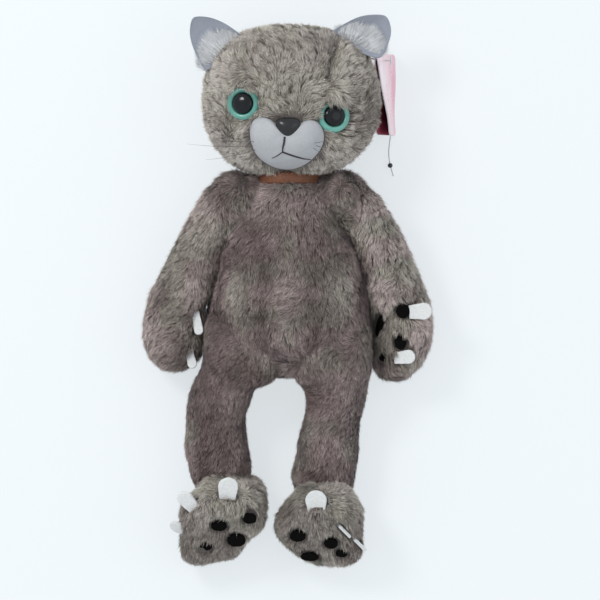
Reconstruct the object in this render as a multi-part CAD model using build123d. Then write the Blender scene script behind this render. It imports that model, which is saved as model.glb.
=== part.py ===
from build123d import *
import os
from math import cos, pi, radians, sin, sqrt, tan

# A soft plush cat lying on its back. +Z out of the belly, +Y towards the head, +X to the toy's left.
# The surface it lies on is Z = 0 and the origin is the bottom centre of its box. Millimetres.

SKIN = 3.0                # fur fabric backing with its pile root
GAP = 0.4                 # clearance between two bodies
FLOOR_CUT = 400.0         # size of the block that flattens what lies on the surface

# Sections are (y, centre x, centre z, half width, half thickness).
HEAD_SECTIONS = [
    (90.5, 1, 41, 26, 24.5),
    (94, 1, 43, 37, 33),
    (102, 1, 46, 48, 42),
    (120, 1.5, 48, 60, 47.5),
    (143, 1.5, 48, 63, 50),
    (165, 1, 48, 60.5, 48),
    (182, 1, 47, 50, 40),
    (191, 1, 46, 35, 28),
    (195, 1, 46, 17, 13),
]
TORSO_SECTIONS = [
    (78, 0, 38, 24.5, 23.5),
    (72, 0, 38, 31, 29),
    (60, 0, 38, 37, 34),
    (34, 0, 37, 45.5, 38),
    (5, 0, 37, 52, 39.5),
    (-18, 0, 37, 56, 39.5),
    (-40, 0, 34, 54, 35),
    (-54, 0, 30, 42, 26),
    (-62, 0, 28, 22, 14),
]
RIGHT_ARM_SECTIONS = [
    (76, -45, 38, 10, 12),
    (66, -48.5, 37, 16, 19),
    (52, -54, 34, 17, 21),
    (31, -65, 29, 17, 22),
    (5, -77, 25, 18, 23),
    (-21, -85.5, 23, 19.5, 23.5),
    (-40, -86, 23, 18, 23.5),
    (-52, -86, 22, 11, 16),
    (-56, -86, 22, 5, 8),
]
LEFT_ARM_SECTIONS = [
    (76, 44, 38, 10, 12),
    (66, 48, 37, 15.5, 19),
    (52, 55, 34, 18, 21),
    (31, 67, 29, 17.5, 22),
    (5, 77, 25, 18.5, 23),
    (-21, 84, 23, 19.5, 23.5),
    (-42, 83, 23, 18, 23.5),
    (-57, 79.5, 22, 12, 16),
    (-63, 78, 22, 5, 8),
]
RIGHT_LEG_SECTIONS = [
    (-50, -38, 30, 22, 27),
    (-64, -41.5, 27, 23, 26),
    (-78, -49, 24.5, 22, 24.5),
    (-95, -54.5, 22, 19.5, 22.5),
    (-112, -55, 21.5, 19.5, 21.5),
    (-131, -52.3, 21, 18, 18.5),
]
LEFT_LEG_SECTIONS = [
    (-50, 33, 30, 22, 27),
    (-64, 34.5, 27, 21, 26),
    (-78, 34.5, 24.5, 19.5, 24.5),
    (-98, 31, 22, 18.5, 22.5),
    (-116, 29, 21.5, 19.5, 21.5),
    (-136, 26.3, 21, 18, 18.5),
]
# A foot's sections count from its ankle: (y, x outwards, z above the surface, half width, half thickness).
FOOT_SECTIONS = [
    (-7, 0, 24, 22, 23),
    (-14, -1, 31, 27, 30),
    (-24, -2, 36, 30, 35.5),
    (-36, -2.5, 36, 30.5, 35),
    (-50, -2.5, 30, 28.5, 29),
    (-60, -2.5, 22, 22, 20),
    (-66, -2.5, 16, 12, 11),
]
TAIL_SECTIONS = [
    (-34, -2.5, 8, 4.5, 5),
    (-28, -2.5, 7.6, 6, 6.5),
    (-8, -2.5, 7.4, 7, 6.8),
    (14, -2.5, 7.4, 9, 6.8),
    (44, -2.5, 7.2, 8.5, 6.6),
    (54, -2.5, 7.2, 5, 4),
]

# Neck: a ball that both the head and the torso have a socket for.
NECK_CENTRE = (0, 84, 40)
NECK_BALL_R = 23.2
NECK_SOCKET_R = 24.2
COLLAR_WIDTH = 8.0
COLLAR_INNER_R = 21.0
COLLAR_OUTER_R = 23.0

# Shoulders: each arm's inner side stays outside a plane that leans with the torso's side.
SHOULDER_PLANE_X = 34.0   # where the plane is at SHOULDER_PLANE_Y
SHOULDER_PLANE_Y = 70.0
SHOULDER_PLANE_LEAN = 0.26
SHOULDER_PATCH_R = 17.0   # round end of the arm that is sewn to the torso's side
SHOULDER_Y, SHOULDER_Z = 58.0, 37.0

# Hips: round leg tops beside a narrow pelvis.
HIP_Y, HIP_Z = -45.0, 30.5
HIP_R = 30.0
PELVIS_RIGHT_X, PELVIS_LEFT_X = -13.0, 8.0
HIP_OUTER_RIGHT_X, HIP_OUTER_LEFT_X = -60.0, 58.0
HIP_ROUNDING = 14.0
TAIL_ROOM = 1.8           # clearance round the tail in its channel
BELLY_END_Y = HIP_Y + HIP_R + GAP

# Ankles: a ball at the leg's end in a socket in the foot.
ANKLE_R = 20.0
RIGHT_ANKLE = (-52, -134, 21)
LEFT_ANKLE = (26, -139, 21)

# Soles: flat, leaning back towards the toes.
SOLE_TILT = 40.0
SOLE_THICKNESS = 3.0
SOLE_POINT = (-2.5, -46, 49)  # outwards and behind the ankle, and above the surface

# Eyes
EYE_R, PUPIL_R = 11.8, 8.6
EYE_HEIGHT, PUPIL_HEIGHT = 3.2, 2.4
SHANK_R, WASHER_R, WASHER_THICKNESS = 2.4, 8.0, 1.6
RIGHT_EYE = (-33.8, 139.1, 89.0)
LEFT_EYE = (33.0, 129.8, 88.6)
EYE_TILT = 17.0

# Muzzle, nose and mouth
MUZZLE_CENTRE = (-1.7, 109.5, 84.0)
MUZZLE_HALF = (27.0, 18.5, 15.5)
NOSE_CENTRE = (-0.8, 121.5, 97.5)
NOSE_WIDTH, NOSE_LENGTH, NOSE_HEIGHT = 17.6, 12.4, 5.0
STITCH_R = 0.7
MOUTH_STITCHES = [
    ((-3.3, 113.0, 99.2), (-5.0, 103.0, 98.2)),
    ((-5.0, 103.0, 98.2), (-12.8, 98.0, 95.5)),
    ((-5.0, 103.0, 98.2), (6.0, 101.0, 97.4)),
    ((6.0, 101.0, 97.4), (16.5, 97.0, 93.0)),
]
WHISKER_R = 0.45
WHISKER_LENGTH = 34.0
WHISKER_ROOTS = [(20, 113, 93), (21.5, 108, 91.5), (20.5, 103, 90)]
WHISKER_FAN = [14, 2, -12]

# Ears: inner base, tip, outer base, as seen from the front, and how far each side bulges.
RIGHT_EAR = ((-34, 189), (-74, 206.5), (-65, 168))
LEFT_EAR = ((34, 193), (72.5, 206.5), (70, 177))
EAR_Z = 60.0
EAR_PANEL = 2.0
EAR_BULGE = 3.0
EAR_ROOT = 9.0
TUFT_THICKNESS = 3.0

# Hang tag: a folded card that leans on the side of the head.
CARD_WIDTH, CARD_LENGTH, CARD_THICKNESS, CARD_CORNER = 44.0, 61.0, 0.8, 4.0
CARD_FOOT_X, CARD_HEAD_Y, CARD_LEAN = 80.2, 177.5, 15.5
FASTENER_R, FASTENER_HOLE_R, FASTENER_BAR = 0.6, 1.2, 7.0
FASTENER_INSET = 5.0
THREAD_R = 0.4
THREAD_ROUTE = [
    (76.4, 115.8, 7.2),
    (75.4, 109.0, 2.4),
    (75.0, 102.0, 1.0),
    (76.2, 94.0, 1.9),
    (78.6, 86.0, 0.6),
]
BEAD_R = 1.9

# The left palm faces up. Its pads: (x, y, half width, half length, turn).
LEFT_PALM_PADS = [
    (85.4, -15.8, 5.3, 5.3, 0),
    (83.6, -39.5, 4.5, 5.3, 0),
    (70.7, -50.2, 4.5, 3.8, 20),
    (68.0, -26.5, 9.0, 4.0, 60),
]
# The right palm faces the body. Its pads: (y, angle above level, half length along the arm, half height).
RIGHT_PALM_PADS = [
    (-10.0, -2.0, 5.3, 5.3),
    (-29.0, 2.0, 5.0, 4.6),
    (-44.0, -14.0, 3.8, 4.2),
    (-27.0, -38.0, 7.0, 4.0),
]
PAD_THICKNESS = 1.6
CLAW_THICKNESS = 2.4
# Sole pads: (x, up the sole, half width, half length) from the middle of the sole.
LEFT_SOLE_PADS = [(-17, 2, 6, 6.5), (8, -7, 5.2, 6), (16, -19, 4.5, 4.2), (-8, -23, 7, 5)]
RIGHT_SOLE_PADS = [(20, 15, 5.3, 6), (-3, 6, 6, 5.6), (-14, -18, 6, 5), (10, -11, 7, 7.5)]
# Foot claws: (angle round the sole, distance out, pointing angle, width, lean back from the sole, twist).
LEFT_FOOT_CLAWS = [
    (93, 26, 93, 16, 25, 0),
    (44, 19, -58, 12, 0, 58),
    (-7, 25.4, -58, 12, 0, 58),
]
RIGHT_FOOT_CLAWS = [
    (86, 30, 86, 15, 25, 0),
    (141, 27.5, 138, 13, 25, 0),
    (200, 26.5, 182, 12, 25, 0),
]
FOOT_CLAW_LENGTH = 18.0
# Hand claws: (x, y, pointing angle, width, length, 1 on top of the hand or -1 underneath).
LEFT_HAND_CLAWS = [
    (92, -16.5, 4, 12.5, 16, 1),
    (80.5, -51, 6, 10.5, 15, 1),
    (79, -52, -92, 8, 13, -1),
]
RIGHT_HAND_CLAWS = [
    (-70, -18, -80, 7, 17, 1),
    (-75, -46, -76, 7, 14, 1),
    (-86, -45, -95, 7, 13, -1),
]


def section(y, x, z, half_width, half_thickness):
    """An ellipse across the Y direction."""
    across = Plane(origin=(x, y, z), x_dir=(1, 0, 0), z_dir=(0, 1, 0))
    return across * Ellipse(half_width, half_thickness)


def stuffed_shape(sections, inset=0.0):
    """A rounded soft form through the sections, or the space inside its fabric."""
    first, last = sections[0][0], sections[-1][0]
    towards_last = 1 if last > first else -1
    faces = []
    for y, x, z, half_width, half_thickness in sections:
        if y == first:
            y += inset * towards_last
        if y == last:
            y -= inset * towards_last
        faces.append(section(y, x, z, half_width - inset, half_thickness - inset))
    return loft(faces)


def on_surface(shape, height=0.0):
    """The shape with everything under the given height taken away."""
    block = Pos(0, 0, height - FLOOR_CUT / 2) * Box(3 * FLOOR_CUT, 3 * FLOOR_CUT, FLOOR_CUT)
    return shape - block


def ball(centre, radius):
    return Pos(*centre) * Sphere(radius)


def rod(start, end, radius):
    """A round bar from start to end."""
    start, end = Vector(*start), Vector(*end)
    along = end - start
    plane = Plane(origin=start, z_dir=along)
    return extrude(plane * Circle(radius), along.length)


def beyond_shoulder_plane(side, offset):
    """All the space further from the middle than the shoulder plane, moved out by offset."""
    outward = Vector(side, SHOULDER_PLANE_LEAN, 0).normalized()
    point = Vector(side * SHOULDER_PLANE_X, SHOULDER_PLANE_Y, 0) + outward * offset
    plane = Plane(origin=point, z_dir=outward)
    return extrude(plane * Rectangle(3 * FLOOR_CUT, 3 * FLOOR_CUT), FLOOR_CUT)


def shoulder_point(side):
    x = SHOULDER_PLANE_X + (SHOULDER_PLANE_Y - SHOULDER_Y) * SHOULDER_PLANE_LEAN
    return Vector(side * x, SHOULDER_Y, SHOULDER_Z)


def hip_top(inner_x, outer_x, inset=0.0):
    """The round top of a leg, turned about the hip's axis."""
    side = 1 if outer_x > inner_x else -1
    near = inner_x + side * inset
    far = outer_x - side * inset
    radius = HIP_R - inset
    rounding = HIP_ROUNDING - inset
    start = (near, 0)
    rim = (near, radius)
    shoulder = (far - side * rounding, radius)
    middle = (far - side * rounding * (1 - cos(radians(45))), radius - rounding * (1 - sin(radians(45))))
    edge = (far, radius - rounding)
    end = (far, 0)
    outline = Polyline(start, rim, shoulder) + ThreePointArc(shoulder, middle, edge)
    outline += Polyline(edge, end, start)
    profile = make_face(outline)
    turned = revolve(profile, axis=Axis.X, revolution_arc=360)
    return Pos(0, HIP_Y, HIP_Z) * turned


def leg_shape(sections, inner_x, outer_x, ankle, inset=0.0):
    shape = stuffed_shape(sections, inset) + hip_top(inner_x, outer_x, inset)
    shape = shape + ball(ankle, ANKLE_R - inset)
    return on_surface(shape, inset)


def sole_plane(ankle, offset=0.0):
    """The plane of a foot's flat sole, facing down the body and up, moved outwards by offset."""
    facing = Vector(0, -cos(radians(SOLE_TILT)), sin(radians(SOLE_TILT)))
    x, y, z = SOLE_POINT
    toe_out = 1 if ankle[0] > 0 else -1
    point = Vector(ankle[0] + toe_out * x, ankle[1] + y, z) + facing * offset
    return Plane(origin=point, x_dir=(1, 0, 0), z_dir=facing)


def foot_shape(ankle, inset=0.0):
    toe_out = 1 if ankle[0] > 0 else -1
    sections = [(ankle[1] + y, ankle[0] + toe_out * x, z, w, t) for y, x, z, w, t in FOOT_SECTIONS]
    shape = stuffed_shape(sections, inset)
    beyond = extrude(sole_plane(ankle, -inset) * Rectangle(FLOOR_CUT, FLOOR_CUT), FLOOR_CUT)
    shape = shape - beyond - ball(ankle, ANKLE_R + GAP + inset)
    return on_surface(shape, inset)


def tongue(width, length):
    """A flat claw outline with a round tip, pointing along its +X, from its root at the origin."""
    half = width / 2
    straight = length - half
    outline = Polyline((0, -half * 0.8), (straight, -half)) + Polyline((0, half * 0.8), (straight, half))
    outline += Line((0, -half * 0.8), (0, half * 0.8))
    outline += ThreePointArc((straight, -half), (length, 0), (straight, half))
    return make_face(outline)


def claw(plane, width, length):
    """A felt claw lying along the plane's X direction."""
    return extrude(plane * tongue(width, length), CLAW_THICKNESS / 2, both=True)


def section_at(sections, y):
    """Centre x and z, half width and half thickness of a stuffed shape at y."""
    ordered = sorted(sections)
    for low, high in zip(ordered, ordered[1:]):
        if low[0] <= y <= high[0]:
            part = (y - low[0]) / (high[0] - low[0])
            return [a + (b - a) * part for a, b in zip(low[1:], high[1:])]
    raise ValueError("y is past the ends of the shape")


def surface_top(sections, x, y):
    """Height of the upper side of a stuffed shape at x, y."""
    cx, cz, half_w, half_t = section_at(sections, y)
    reach = min(abs(x - cx) / half_w, 0.98)
    return cz + half_t * sqrt(1 - reach**2)


def inner_side(sections, y, angle):
    """The place on a stuffed shape's +X side at y and an angle above level."""
    cx, cz, half_w, half_t = section_at(sections, y)
    return Vector(cx + half_w * cos(radians(angle)), y, cz + half_t * sin(radians(angle)))


def inner_side_plane(sections, y, angle, outwards=0.0):
    """A plane touching the +X side of a stuffed shape, with its own X along the shape."""
    step = 1.0
    spot = inner_side(sections, y, angle)
    along = inner_side(sections, y + step, angle) - inner_side(sections, y - step, angle)
    upward = inner_side(sections, y, angle + step) - inner_side(sections, y, angle - step)
    normal = along.cross(upward).normalized()
    return Plane(origin=spot + normal * outwards, x_dir=along, z_dir=normal)


def facing_plane(sections, x, y, outwards=0.0):
    """A plane touching the upper side of a stuffed shape at x, y."""
    step = 1.0
    z = surface_top(sections, x, y)
    slope_x = (surface_top(sections, x + step, y) - surface_top(sections, x - step, y)) / (2 * step)
    slope_y = (surface_top(sections, x, y + step) - surface_top(sections, x, y - step)) / (2 * step)
    normal = Vector(-slope_x, -slope_y, 1).normalized()
    return Plane(origin=Vector(x, y, z) + normal * outwards, x_dir=(1, -0.001, slope_x), z_dir=normal)


def palm_pads(sections, pads):
    """Oval felt pads let halfway into the upper side of a hand."""
    made = []
    for x, y, half_w, half_l, turn in pads:
        plane = facing_plane(sections, x, y, -PAD_THICKNESS / 2)
        made.append(extrude(plane * Rot(0, 0, turn) * Ellipse(half_w, half_l), PAD_THICKNESS))
    return made


def inner_palm_pads(sections, pads):
    """Oval felt pads let halfway into the side of a hand that faces the body."""
    made = []
    for y, angle, half_l, half_h in pads:
        plane = inner_side_plane(sections, y, angle, -PAD_THICKNESS / 2)
        made.append(extrude(plane * Ellipse(half_l, half_h), PAD_THICKNESS))
    return made


def hand_claws(sections, claws):
    """Felt claws lying along the hand's surface, each with its root let into the fabric."""
    made = []
    for x, y, angle, width, length, upper in claws:
        lift = 0.4 if upper == 1 else 0.0
        middle = section_at(sections, y)[1]
        z = middle + upper * (surface_top(sections, x, y) - middle)
        pointing = Vector(cos(radians(angle)), sin(radians(angle)), lift).normalized()
        sideways = Vector(-sin(radians(angle)), cos(radians(angle)), 0)
        plane = Plane(origin=Vector(x, y, z) - pointing * 2, x_dir=pointing, z_dir=pointing.cross(sideways))
        made.append(claw(plane, width, length + 2))
    return made


def sole_pads(ankle, spots):
    """Three toe pads round one larger pad, lying on the sole."""
    made = []
    for across, along, half_w, half_l in spots:
        plane = sole_plane(ankle)
        made.append(extrude(plane * Pos(across, along, 0) * Ellipse(half_w, half_l), PAD_THICKNESS))
    return made


def foot_claws(ankle, spots):
    """Felt claws standing out of the edge of the sole."""
    plane = sole_plane(ankle, -SOLE_THICKNESS - CLAW_THICKNESS)
    made = []
    for angle, distance, pointing, width, lean, twist in spots:
        place = Pos(distance * cos(radians(angle)), distance * sin(radians(angle)), 0)
        root = plane * place * Rot(0, 0, pointing) * Rot(twist, 0, 0) * Rot(0, lean, 0)
        made.append(claw(root, width, FOOT_CLAW_LENGTH))
    return made


def ear_outline(inner, tip, outer, scale=1.0):
    """A rounded triangle with bulging sides and a root that goes into the head."""
    middle = Vector((inner[0] + outer[0]) / 2, (inner[1] + outer[1]) / 2, 0)
    top = Vector(*tip, 0)
    up = (top - middle).normalized()
    a, b = Vector(*inner, 0), Vector(*outer, 0)
    centre = (a + b + top) * (1 / 3)

    def bulged(start, end):
        half_way = (start + end) * 0.5
        away = (half_way - centre).normalized()
        return ThreePointArc(start, half_way + away * EAR_BULGE, end)

    low_a, low_b = a - up * EAR_ROOT, b - up * EAR_ROOT
    outline = bulged(a, top) + bulged(top, b) + Line(b, low_b) + Line(low_b, low_a) + Line(low_a, a)
    return make_face(outline)


def tuft_outline(inner, tip, outer):
    """The lower part of the ear's inside that is covered in long white pile."""
    a, b, top = Vector(*inner, 0), Vector(*outer, 0), Vector(*tip, 0)
    corner_a = a + (b - a) * 0.12 + (top - a) * 0.06
    corner_b = b + (a - b) * 0.12 + (top - b) * 0.06
    peak = (a + b) * 0.5 + (top - (a + b) * 0.5) * 0.62
    return make_face(Polyline(corner_a, peak, corner_b, corner_a))


def card_plane():
    """The hang tag's face: X runs from its head end towards its free end, Y up its leaning width."""
    up = Vector(-sin(radians(CARD_LEAN)), 0, cos(radians(CARD_LEAN)))
    along = Vector(0, -1, 0)
    return Plane(origin=(CARD_FOOT_X, CARD_HEAD_Y, 0.9), x_dir=along, z_dir=along.cross(up))


def card_hole():
    """Where the fastener goes through the card."""
    return card_plane().from_local_coords(Vector(FASTENER_INSET, CARD_WIDTH * 0.58, 0))


def card(distance):
    """One leaf of the folded card, its near face at the given distance from the card's face."""
    blank = Pos(CARD_LENGTH / 2, CARD_WIDTH / 2, 0) * RectangleRounded(CARD_LENGTH, CARD_WIDTH, CARD_CORNER)
    hole = Pos(FASTENER_INSET, CARD_WIDTH * 0.58, 0) * Circle(FASTENER_HOLE_R)
    return extrude(card_plane().offset(distance) * (blank - hole), CARD_THICKNESS)


def fastener():
    """A plastic loop pin: a cross bar outside the card, a stem through it and a strand up to the ear."""
    plane = card_plane()
    hole = card_hole()
    outside = plane.z_dir
    if outside.X < 0:
        outside = outside * -1
    bar_centre = hole + outside * 3.2
    elbow = hole - outside * 4.2
    bar = rod(bar_centre - plane.x_dir * FASTENER_BAR / 2, bar_centre + plane.x_dir * FASTENER_BAR / 2, FASTENER_R)
    stem = rod(elbow, bar_centre, FASTENER_R)
    ear_end = Vector(LEFT_EAR[2][0] - 20, LEFT_EAR[2][1] - 1, EAR_Z - 3)
    strand = rod(elbow, ear_end, FASTENER_R)
    return bar + stem + ball(tuple(elbow), FASTENER_R) + strand


def thread():
    """The thin thread that hangs from the card's free end, as straight runs joined by arcs."""
    points = [Vector(*p) for p in THREAD_ROUTE]
    runs = [b - a for a, b in zip(points, points[1:])]
    radii = []
    for first, second in zip(runs, runs[1:]):
        turn = radians(first.get_angle(second))
        radii.append(0.45 * min(first.length, second.length) / tan(turn / 2))
    print("thread radii", [round(r, 1) for r in radii])
    path = FilletPolyline(*points, radius=radii)
    print("thread length", round(path.length, 2))
    profile = Plane(origin=points[0], z_dir=runs[0]) * Circle(THREAD_R)
    return sweep(profile, path=path), path.length


def eye(centre, side):
    """A safety eye: coloured disc with its shank, black dome and locking washer."""
    outward = Vector(side * sin(radians(EYE_TILT)), 0, cos(radians(EYE_TILT)))
    plane = Plane(origin=centre, x_dir=(0, 1, 0), z_dir=outward)
    base = -2.0
    disc = Pos(0, 0, base) * Cylinder(EYE_R, EYE_HEIGHT - base, align=(Align.CENTER, Align.CENTER, Align.MIN))
    disc = fillet(disc.edges().group_by(Axis.Z)[-1], 2.2)
    seat = Pos(0, 0, EYE_HEIGHT - 1.2) * Cylinder(PUPIL_R, 3, align=(Align.CENTER, Align.CENTER, Align.MIN))
    shank = Pos(0, 0, base - 12) * Cylinder(SHANK_R, 12, align=(Align.CENTER, Align.CENTER, Align.MIN))
    iris = disc - seat + shank
    pupil = Pos(0, 0, EYE_HEIGHT - 1.2) * Cylinder(
        PUPIL_R, PUPIL_HEIGHT + 1.2, align=(Align.CENTER, Align.CENTER, Align.MIN)
    )
    pupil = fillet(pupil.edges().group_by(Axis.Z)[-1], 2.0)
    washer = Pos(0, 0, base - 6) * Cylinder(WASHER_R, WASHER_THICKNESS, align=(Align.CENTER, Align.CENTER, Align.MIN))
    washer = washer - Pos(0, 0, base - 12) * Cylinder(SHANK_R, 12, align=(Align.CENTER, Align.CENTER, Align.MIN))
    return plane.location * iris, plane.location * pupil, plane.location * washer


def nose_pieces():
    """A rounded triangular nose with a shank, and its washer."""
    half = NOSE_WIDTH / 2
    top, bottom = NOSE_LENGTH * 0.45, NOSE_LENGTH * 0.75
    corners = [(-half * 1.3, top), (half * 1.3, top), (0, -bottom)]
    outline = make_face(Polyline(*corners, corners[0]))
    outline = fillet(outline.vertices(), 3.0)
    plane = Plane(origin=NOSE_CENTRE)
    nose = extrude(plane * outline, NOSE_HEIGHT)
    nose = fillet(nose.edges().group_by(Axis.Z)[-1], 2.0)
    x, y, z = NOSE_CENTRE
    shank = rod((x, y, z), (x, y, z - 18), SHANK_R)
    washer = rod((x, y, z - 14), (x, y, z - 14 + WASHER_THICKNESS), WASHER_R) - shank
    return nose + shank, washer


def whiskers(side):
    """Three thin bristles from the side of the muzzle."""
    made = []
    for (x, y, z), fan in zip(WHISKER_ROOTS, WHISKER_FAN):
        root = Vector(MUZZLE_CENTRE[0] + side * x, y, z)
        reach = Vector(side * cos(radians(fan)), sin(radians(fan)), 0.16) * WHISKER_LENGTH
        made.append(rod(tuple(root), tuple(root + reach), WHISKER_R))
    return made


def save(node, *solids):
    """One STEP per sub-part, as a single solid or a group of separate ones."""
    pieces = []
    for solid in solids:
        pieces.extend(solid.solids())
    whole = pieces[0] if len(pieces) == 1 else Compound(children=pieces)
    export_step(whole, f"parts/{node}.step")


def without(shape, *tools):
    for tool in tools:
        shape = shape - tool
    return shape


def tail_channel():
    """The room that the folded tail lies in, open towards the back."""
    pieces = []
    for near, far in zip(TAIL_SECTIONS, TAIL_SECTIONS[1:]):
        half_width = max(near[3], far[3]) + TAIL_ROOM
        top = max(near[2] + near[4], far[2] + far[4]) + TAIL_ROOM
        low = near[0] - (2 * TAIL_ROOM if near is TAIL_SECTIONS[0] else 0)
        high = far[0] + (2 * TAIL_ROOM if far is TAIL_SECTIONS[-1] else 0)
        room = Pos(near[1], (low + high) / 2, 0) * Box(2 * half_width, high - low, 2 * top)
        pieces.append(room)
    channel = pieces[0]
    for piece in pieces[1:]:
        channel = channel + piece
    return channel


def make_torso():
    outer = on_surface(stuffed_shape(TORSO_SECTIONS))
    inner = on_surface(stuffed_shape(TORSO_SECTIONS, SKIN), SKIN)
    neck_socket = ball(NECK_CENTRE, NECK_SOCKET_R)
    size = FLOOR_CUT
    left_leg_room = Pos(PELVIS_LEFT_X - GAP + size / 2, BELLY_END_Y - size / 2, 0) * Box(size, size, size)
    right_leg_room = Pos(PELVIS_RIGHT_X + GAP - size / 2, BELLY_END_Y - size / 2, 0) * Box(size, size, size)
    arm_rooms = [beyond_shoulder_plane(side, 0) for side in (1, -1)]
    tail_room = tail_channel()
    outer = without(outer, neck_socket, left_leg_room, right_leg_room, *arm_rooms)
    inner = without(inner, ball(NECK_CENTRE, NECK_SOCKET_R + SKIN))
    inner = without(inner, Pos(SKIN * -1, SKIN, 0) * left_leg_room, Pos(SKIN, SKIN, 0) * right_leg_room)
    inner = without(inner, *[beyond_shoulder_plane(side, -SKIN) for side in (1, -1)])
    outer = outer - tail_room
    inner = inner - tail_room
    save("torso_skin", outer - inner)
    save("torso_filling", inner)
    tail_outer = stuffed_shape(TAIL_SECTIONS)
    tail_inner = stuffed_shape(TAIL_SECTIONS, 2.0)
    save("tail_skin", tail_outer - tail_inner)
    save("tail_filling", tail_inner)


def make_neck():
    along = Plane(origin=(NECK_CENTRE[0], NECK_CENTRE[1] - COLLAR_WIDTH / 2, NECK_CENTRE[2]), z_dir=(0, 1, 0))
    groove = extrude(along * (Circle(2 * COLLAR_OUTER_R) - Circle(COLLAR_INNER_R)), COLLAR_WIDTH)
    strap = extrude(along * (Circle(COLLAR_OUTER_R) - Circle(COLLAR_INNER_R)), COLLAR_WIDTH)
    save("neck_core", ball(NECK_CENTRE, NECK_BALL_R) - groove)
    save("collar_strap", strap)


def make_head():
    socket = ball(NECK_CENTRE, NECK_SOCKET_R)
    outer = on_surface(stuffed_shape(HEAD_SECTIONS)) - socket
    inner = on_surface(stuffed_shape(HEAD_SECTIONS, SKIN), SKIN) - ball(NECK_CENTRE, NECK_SOCKET_R + SKIN)
    right_iris, right_pupil, right_washer = eye(RIGHT_EYE, -1)
    left_iris, left_pupil, left_washer = eye(LEFT_EYE, 1)
    nose, nose_washer = nose_pieces()
    stitches = [rod(a, b, STITCH_R) for a, b in MOUTH_STITCHES]
    joins = [ball(b, STITCH_R) for a, b in MOUTH_STITCHES]
    mouth = stitches[0]
    for extra in stitches[1:] + joins:
        mouth = mouth + extra
    ears = {}
    for name, side_points in (("left", LEFT_EAR), ("right", RIGHT_EAR)):
        low = Plane(origin=(0, 0, EAR_Z))
        back = extrude(low * ear_outline(*side_points), EAR_PANEL)
        front = extrude(low.offset(EAR_PANEL) * ear_outline(*side_points), EAR_PANEL)
        tuft = extrude(low.offset(2 * EAR_PANEL) * tuft_outline(*side_points), TUFT_THICKNESS)
        ears[name] = (back, front, tuft)
    all_ears = [piece for trio in ears.values() for piece in trio]
    bristles = {"left": whiskers(1), "right": whiskers(-1)}
    pin = fastener()
    hardware = [right_iris, left_iris, nose, right_washer, left_washer, nose_washer, pin]
    muzzle = Pos(*MUZZLE_CENTRE) * scale(Sphere(1), by=MUZZLE_HALF)
    muzzle = muzzle - outer - inner
    muzzle = without(muzzle, nose, mouth, *bristles["left"], *bristles["right"])
    muzzle = max(muzzle.solids(), key=lambda s: s.volume)
    all_ears_cut = [ears[n][0] for n in ears] + [ears[n][1] for n in ears]
    shell = without(outer - inner, *hardware, *all_ears_cut, *bristles["left"], *bristles["right"])
    shell = max(shell.solids(), key=lambda s: s.volume)
    core = without(inner, *hardware, *all_ears_cut)
    core = max(core.solids(), key=lambda s: s.volume)
    save("head_skin", shell)
    save("head_filling", core)
    save("muzzle", muzzle)
    save("nose", nose)
    save("nose_washer", nose_washer)
    save("mouth_stitching", mouth)
    save("right_eye_iris", right_iris)
    save("right_eye_pupil", right_pupil)
    save("right_eye_washer", right_washer)
    save("left_eye_iris", left_iris)
    save("left_eye_pupil", left_pupil)
    save("left_eye_washer", left_washer)
    for name, (back, front, tuft) in ears.items():
        save(f"{name}_ear_back", back)
        save(f"{name}_ear_front", front)
        save(f"{name}_ear_tuft", tuft - outer)
        save(f"{name}_whiskers", *bristles[name])
    save("tag_fastener", pin)


def make_arm(name, side, sections, pads, claws):
    patch_plane = Plane(origin=shoulder_point(side), z_dir=Vector(side, SHOULDER_PLANE_LEAN, 0))
    keep = beyond_shoulder_plane(side, GAP)
    patch = extrude(patch_plane * Circle(SHOULDER_PATCH_R), 16)
    inner_patch = extrude(patch_plane * Circle(SHOULDER_PATCH_R - SKIN), 16)
    outer = on_surface(stuffed_shape(sections) + patch) & keep
    inner = on_surface(stuffed_shape(sections, SKIN) + inner_patch, SKIN) & beyond_shoulder_plane(side, GAP + SKIN)
    pad_solids = palm_pads(sections, pads) if side == 1 else inner_palm_pads(sections, pads)
    claw_solids = hand_claws(sections, claws)
    save(f"{name}_arm_skin", without(outer - inner, *pad_solids, *claw_solids))
    save(f"{name}_arm_filling", without(inner, *pad_solids, *claw_solids))
    save(f"{name}_palm_pads", *pad_solids)
    save(f"{name}_hand_claws", *claw_solids)


def make_leg(name, sections, inner_x, outer_x, ankle):
    outer = leg_shape(sections, inner_x, outer_x, ankle)
    inner = leg_shape(sections, inner_x, outer_x, ankle, SKIN)
    save(f"{name}_leg_skin", outer - inner)
    save(f"{name}_leg_filling", inner)


def make_foot(name, ankle, pad_spots, claw_spots):
    outer = foot_shape(ankle)
    inner = foot_shape(ankle, SKIN)
    shell = outer - inner
    sole_block = extrude(sole_plane(ankle, -SOLE_THICKNESS) * Rectangle(FLOOR_CUT, FLOOR_CUT), FLOOR_CUT)
    claws = foot_claws(ankle, claw_spots)
    pads = sole_pads(ankle, pad_spots)
    sole = without(outer & sole_block, *claws)
    upper = without(shell - sole_block, *claws)
    save(f"{name}_foot_skin", upper)
    save(f"{name}_foot_filling", without(inner, *claws))
    save(f"{name}_sole", sole)
    save(f"{name}_sole_pads", *pads)
    save(f"{name}_foot_claws", *claws)


def make_tag():
    strand, length = thread()
    bead = ball(THREAD_ROUTE[3], BEAD_R) - strand
    cover = card(0)
    leaf = card(CARD_THICKNESS)
    save("tag_cover", cover)
    save("tag_leaf", leaf)
    save("tag_thread", without(strand, cover, leaf))
    save("tag_bead", bead)
    ratio = strand.volume / (pi * THREAD_R**2 * length)
    print("thread volume against section times length", round(ratio, 4))


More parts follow.
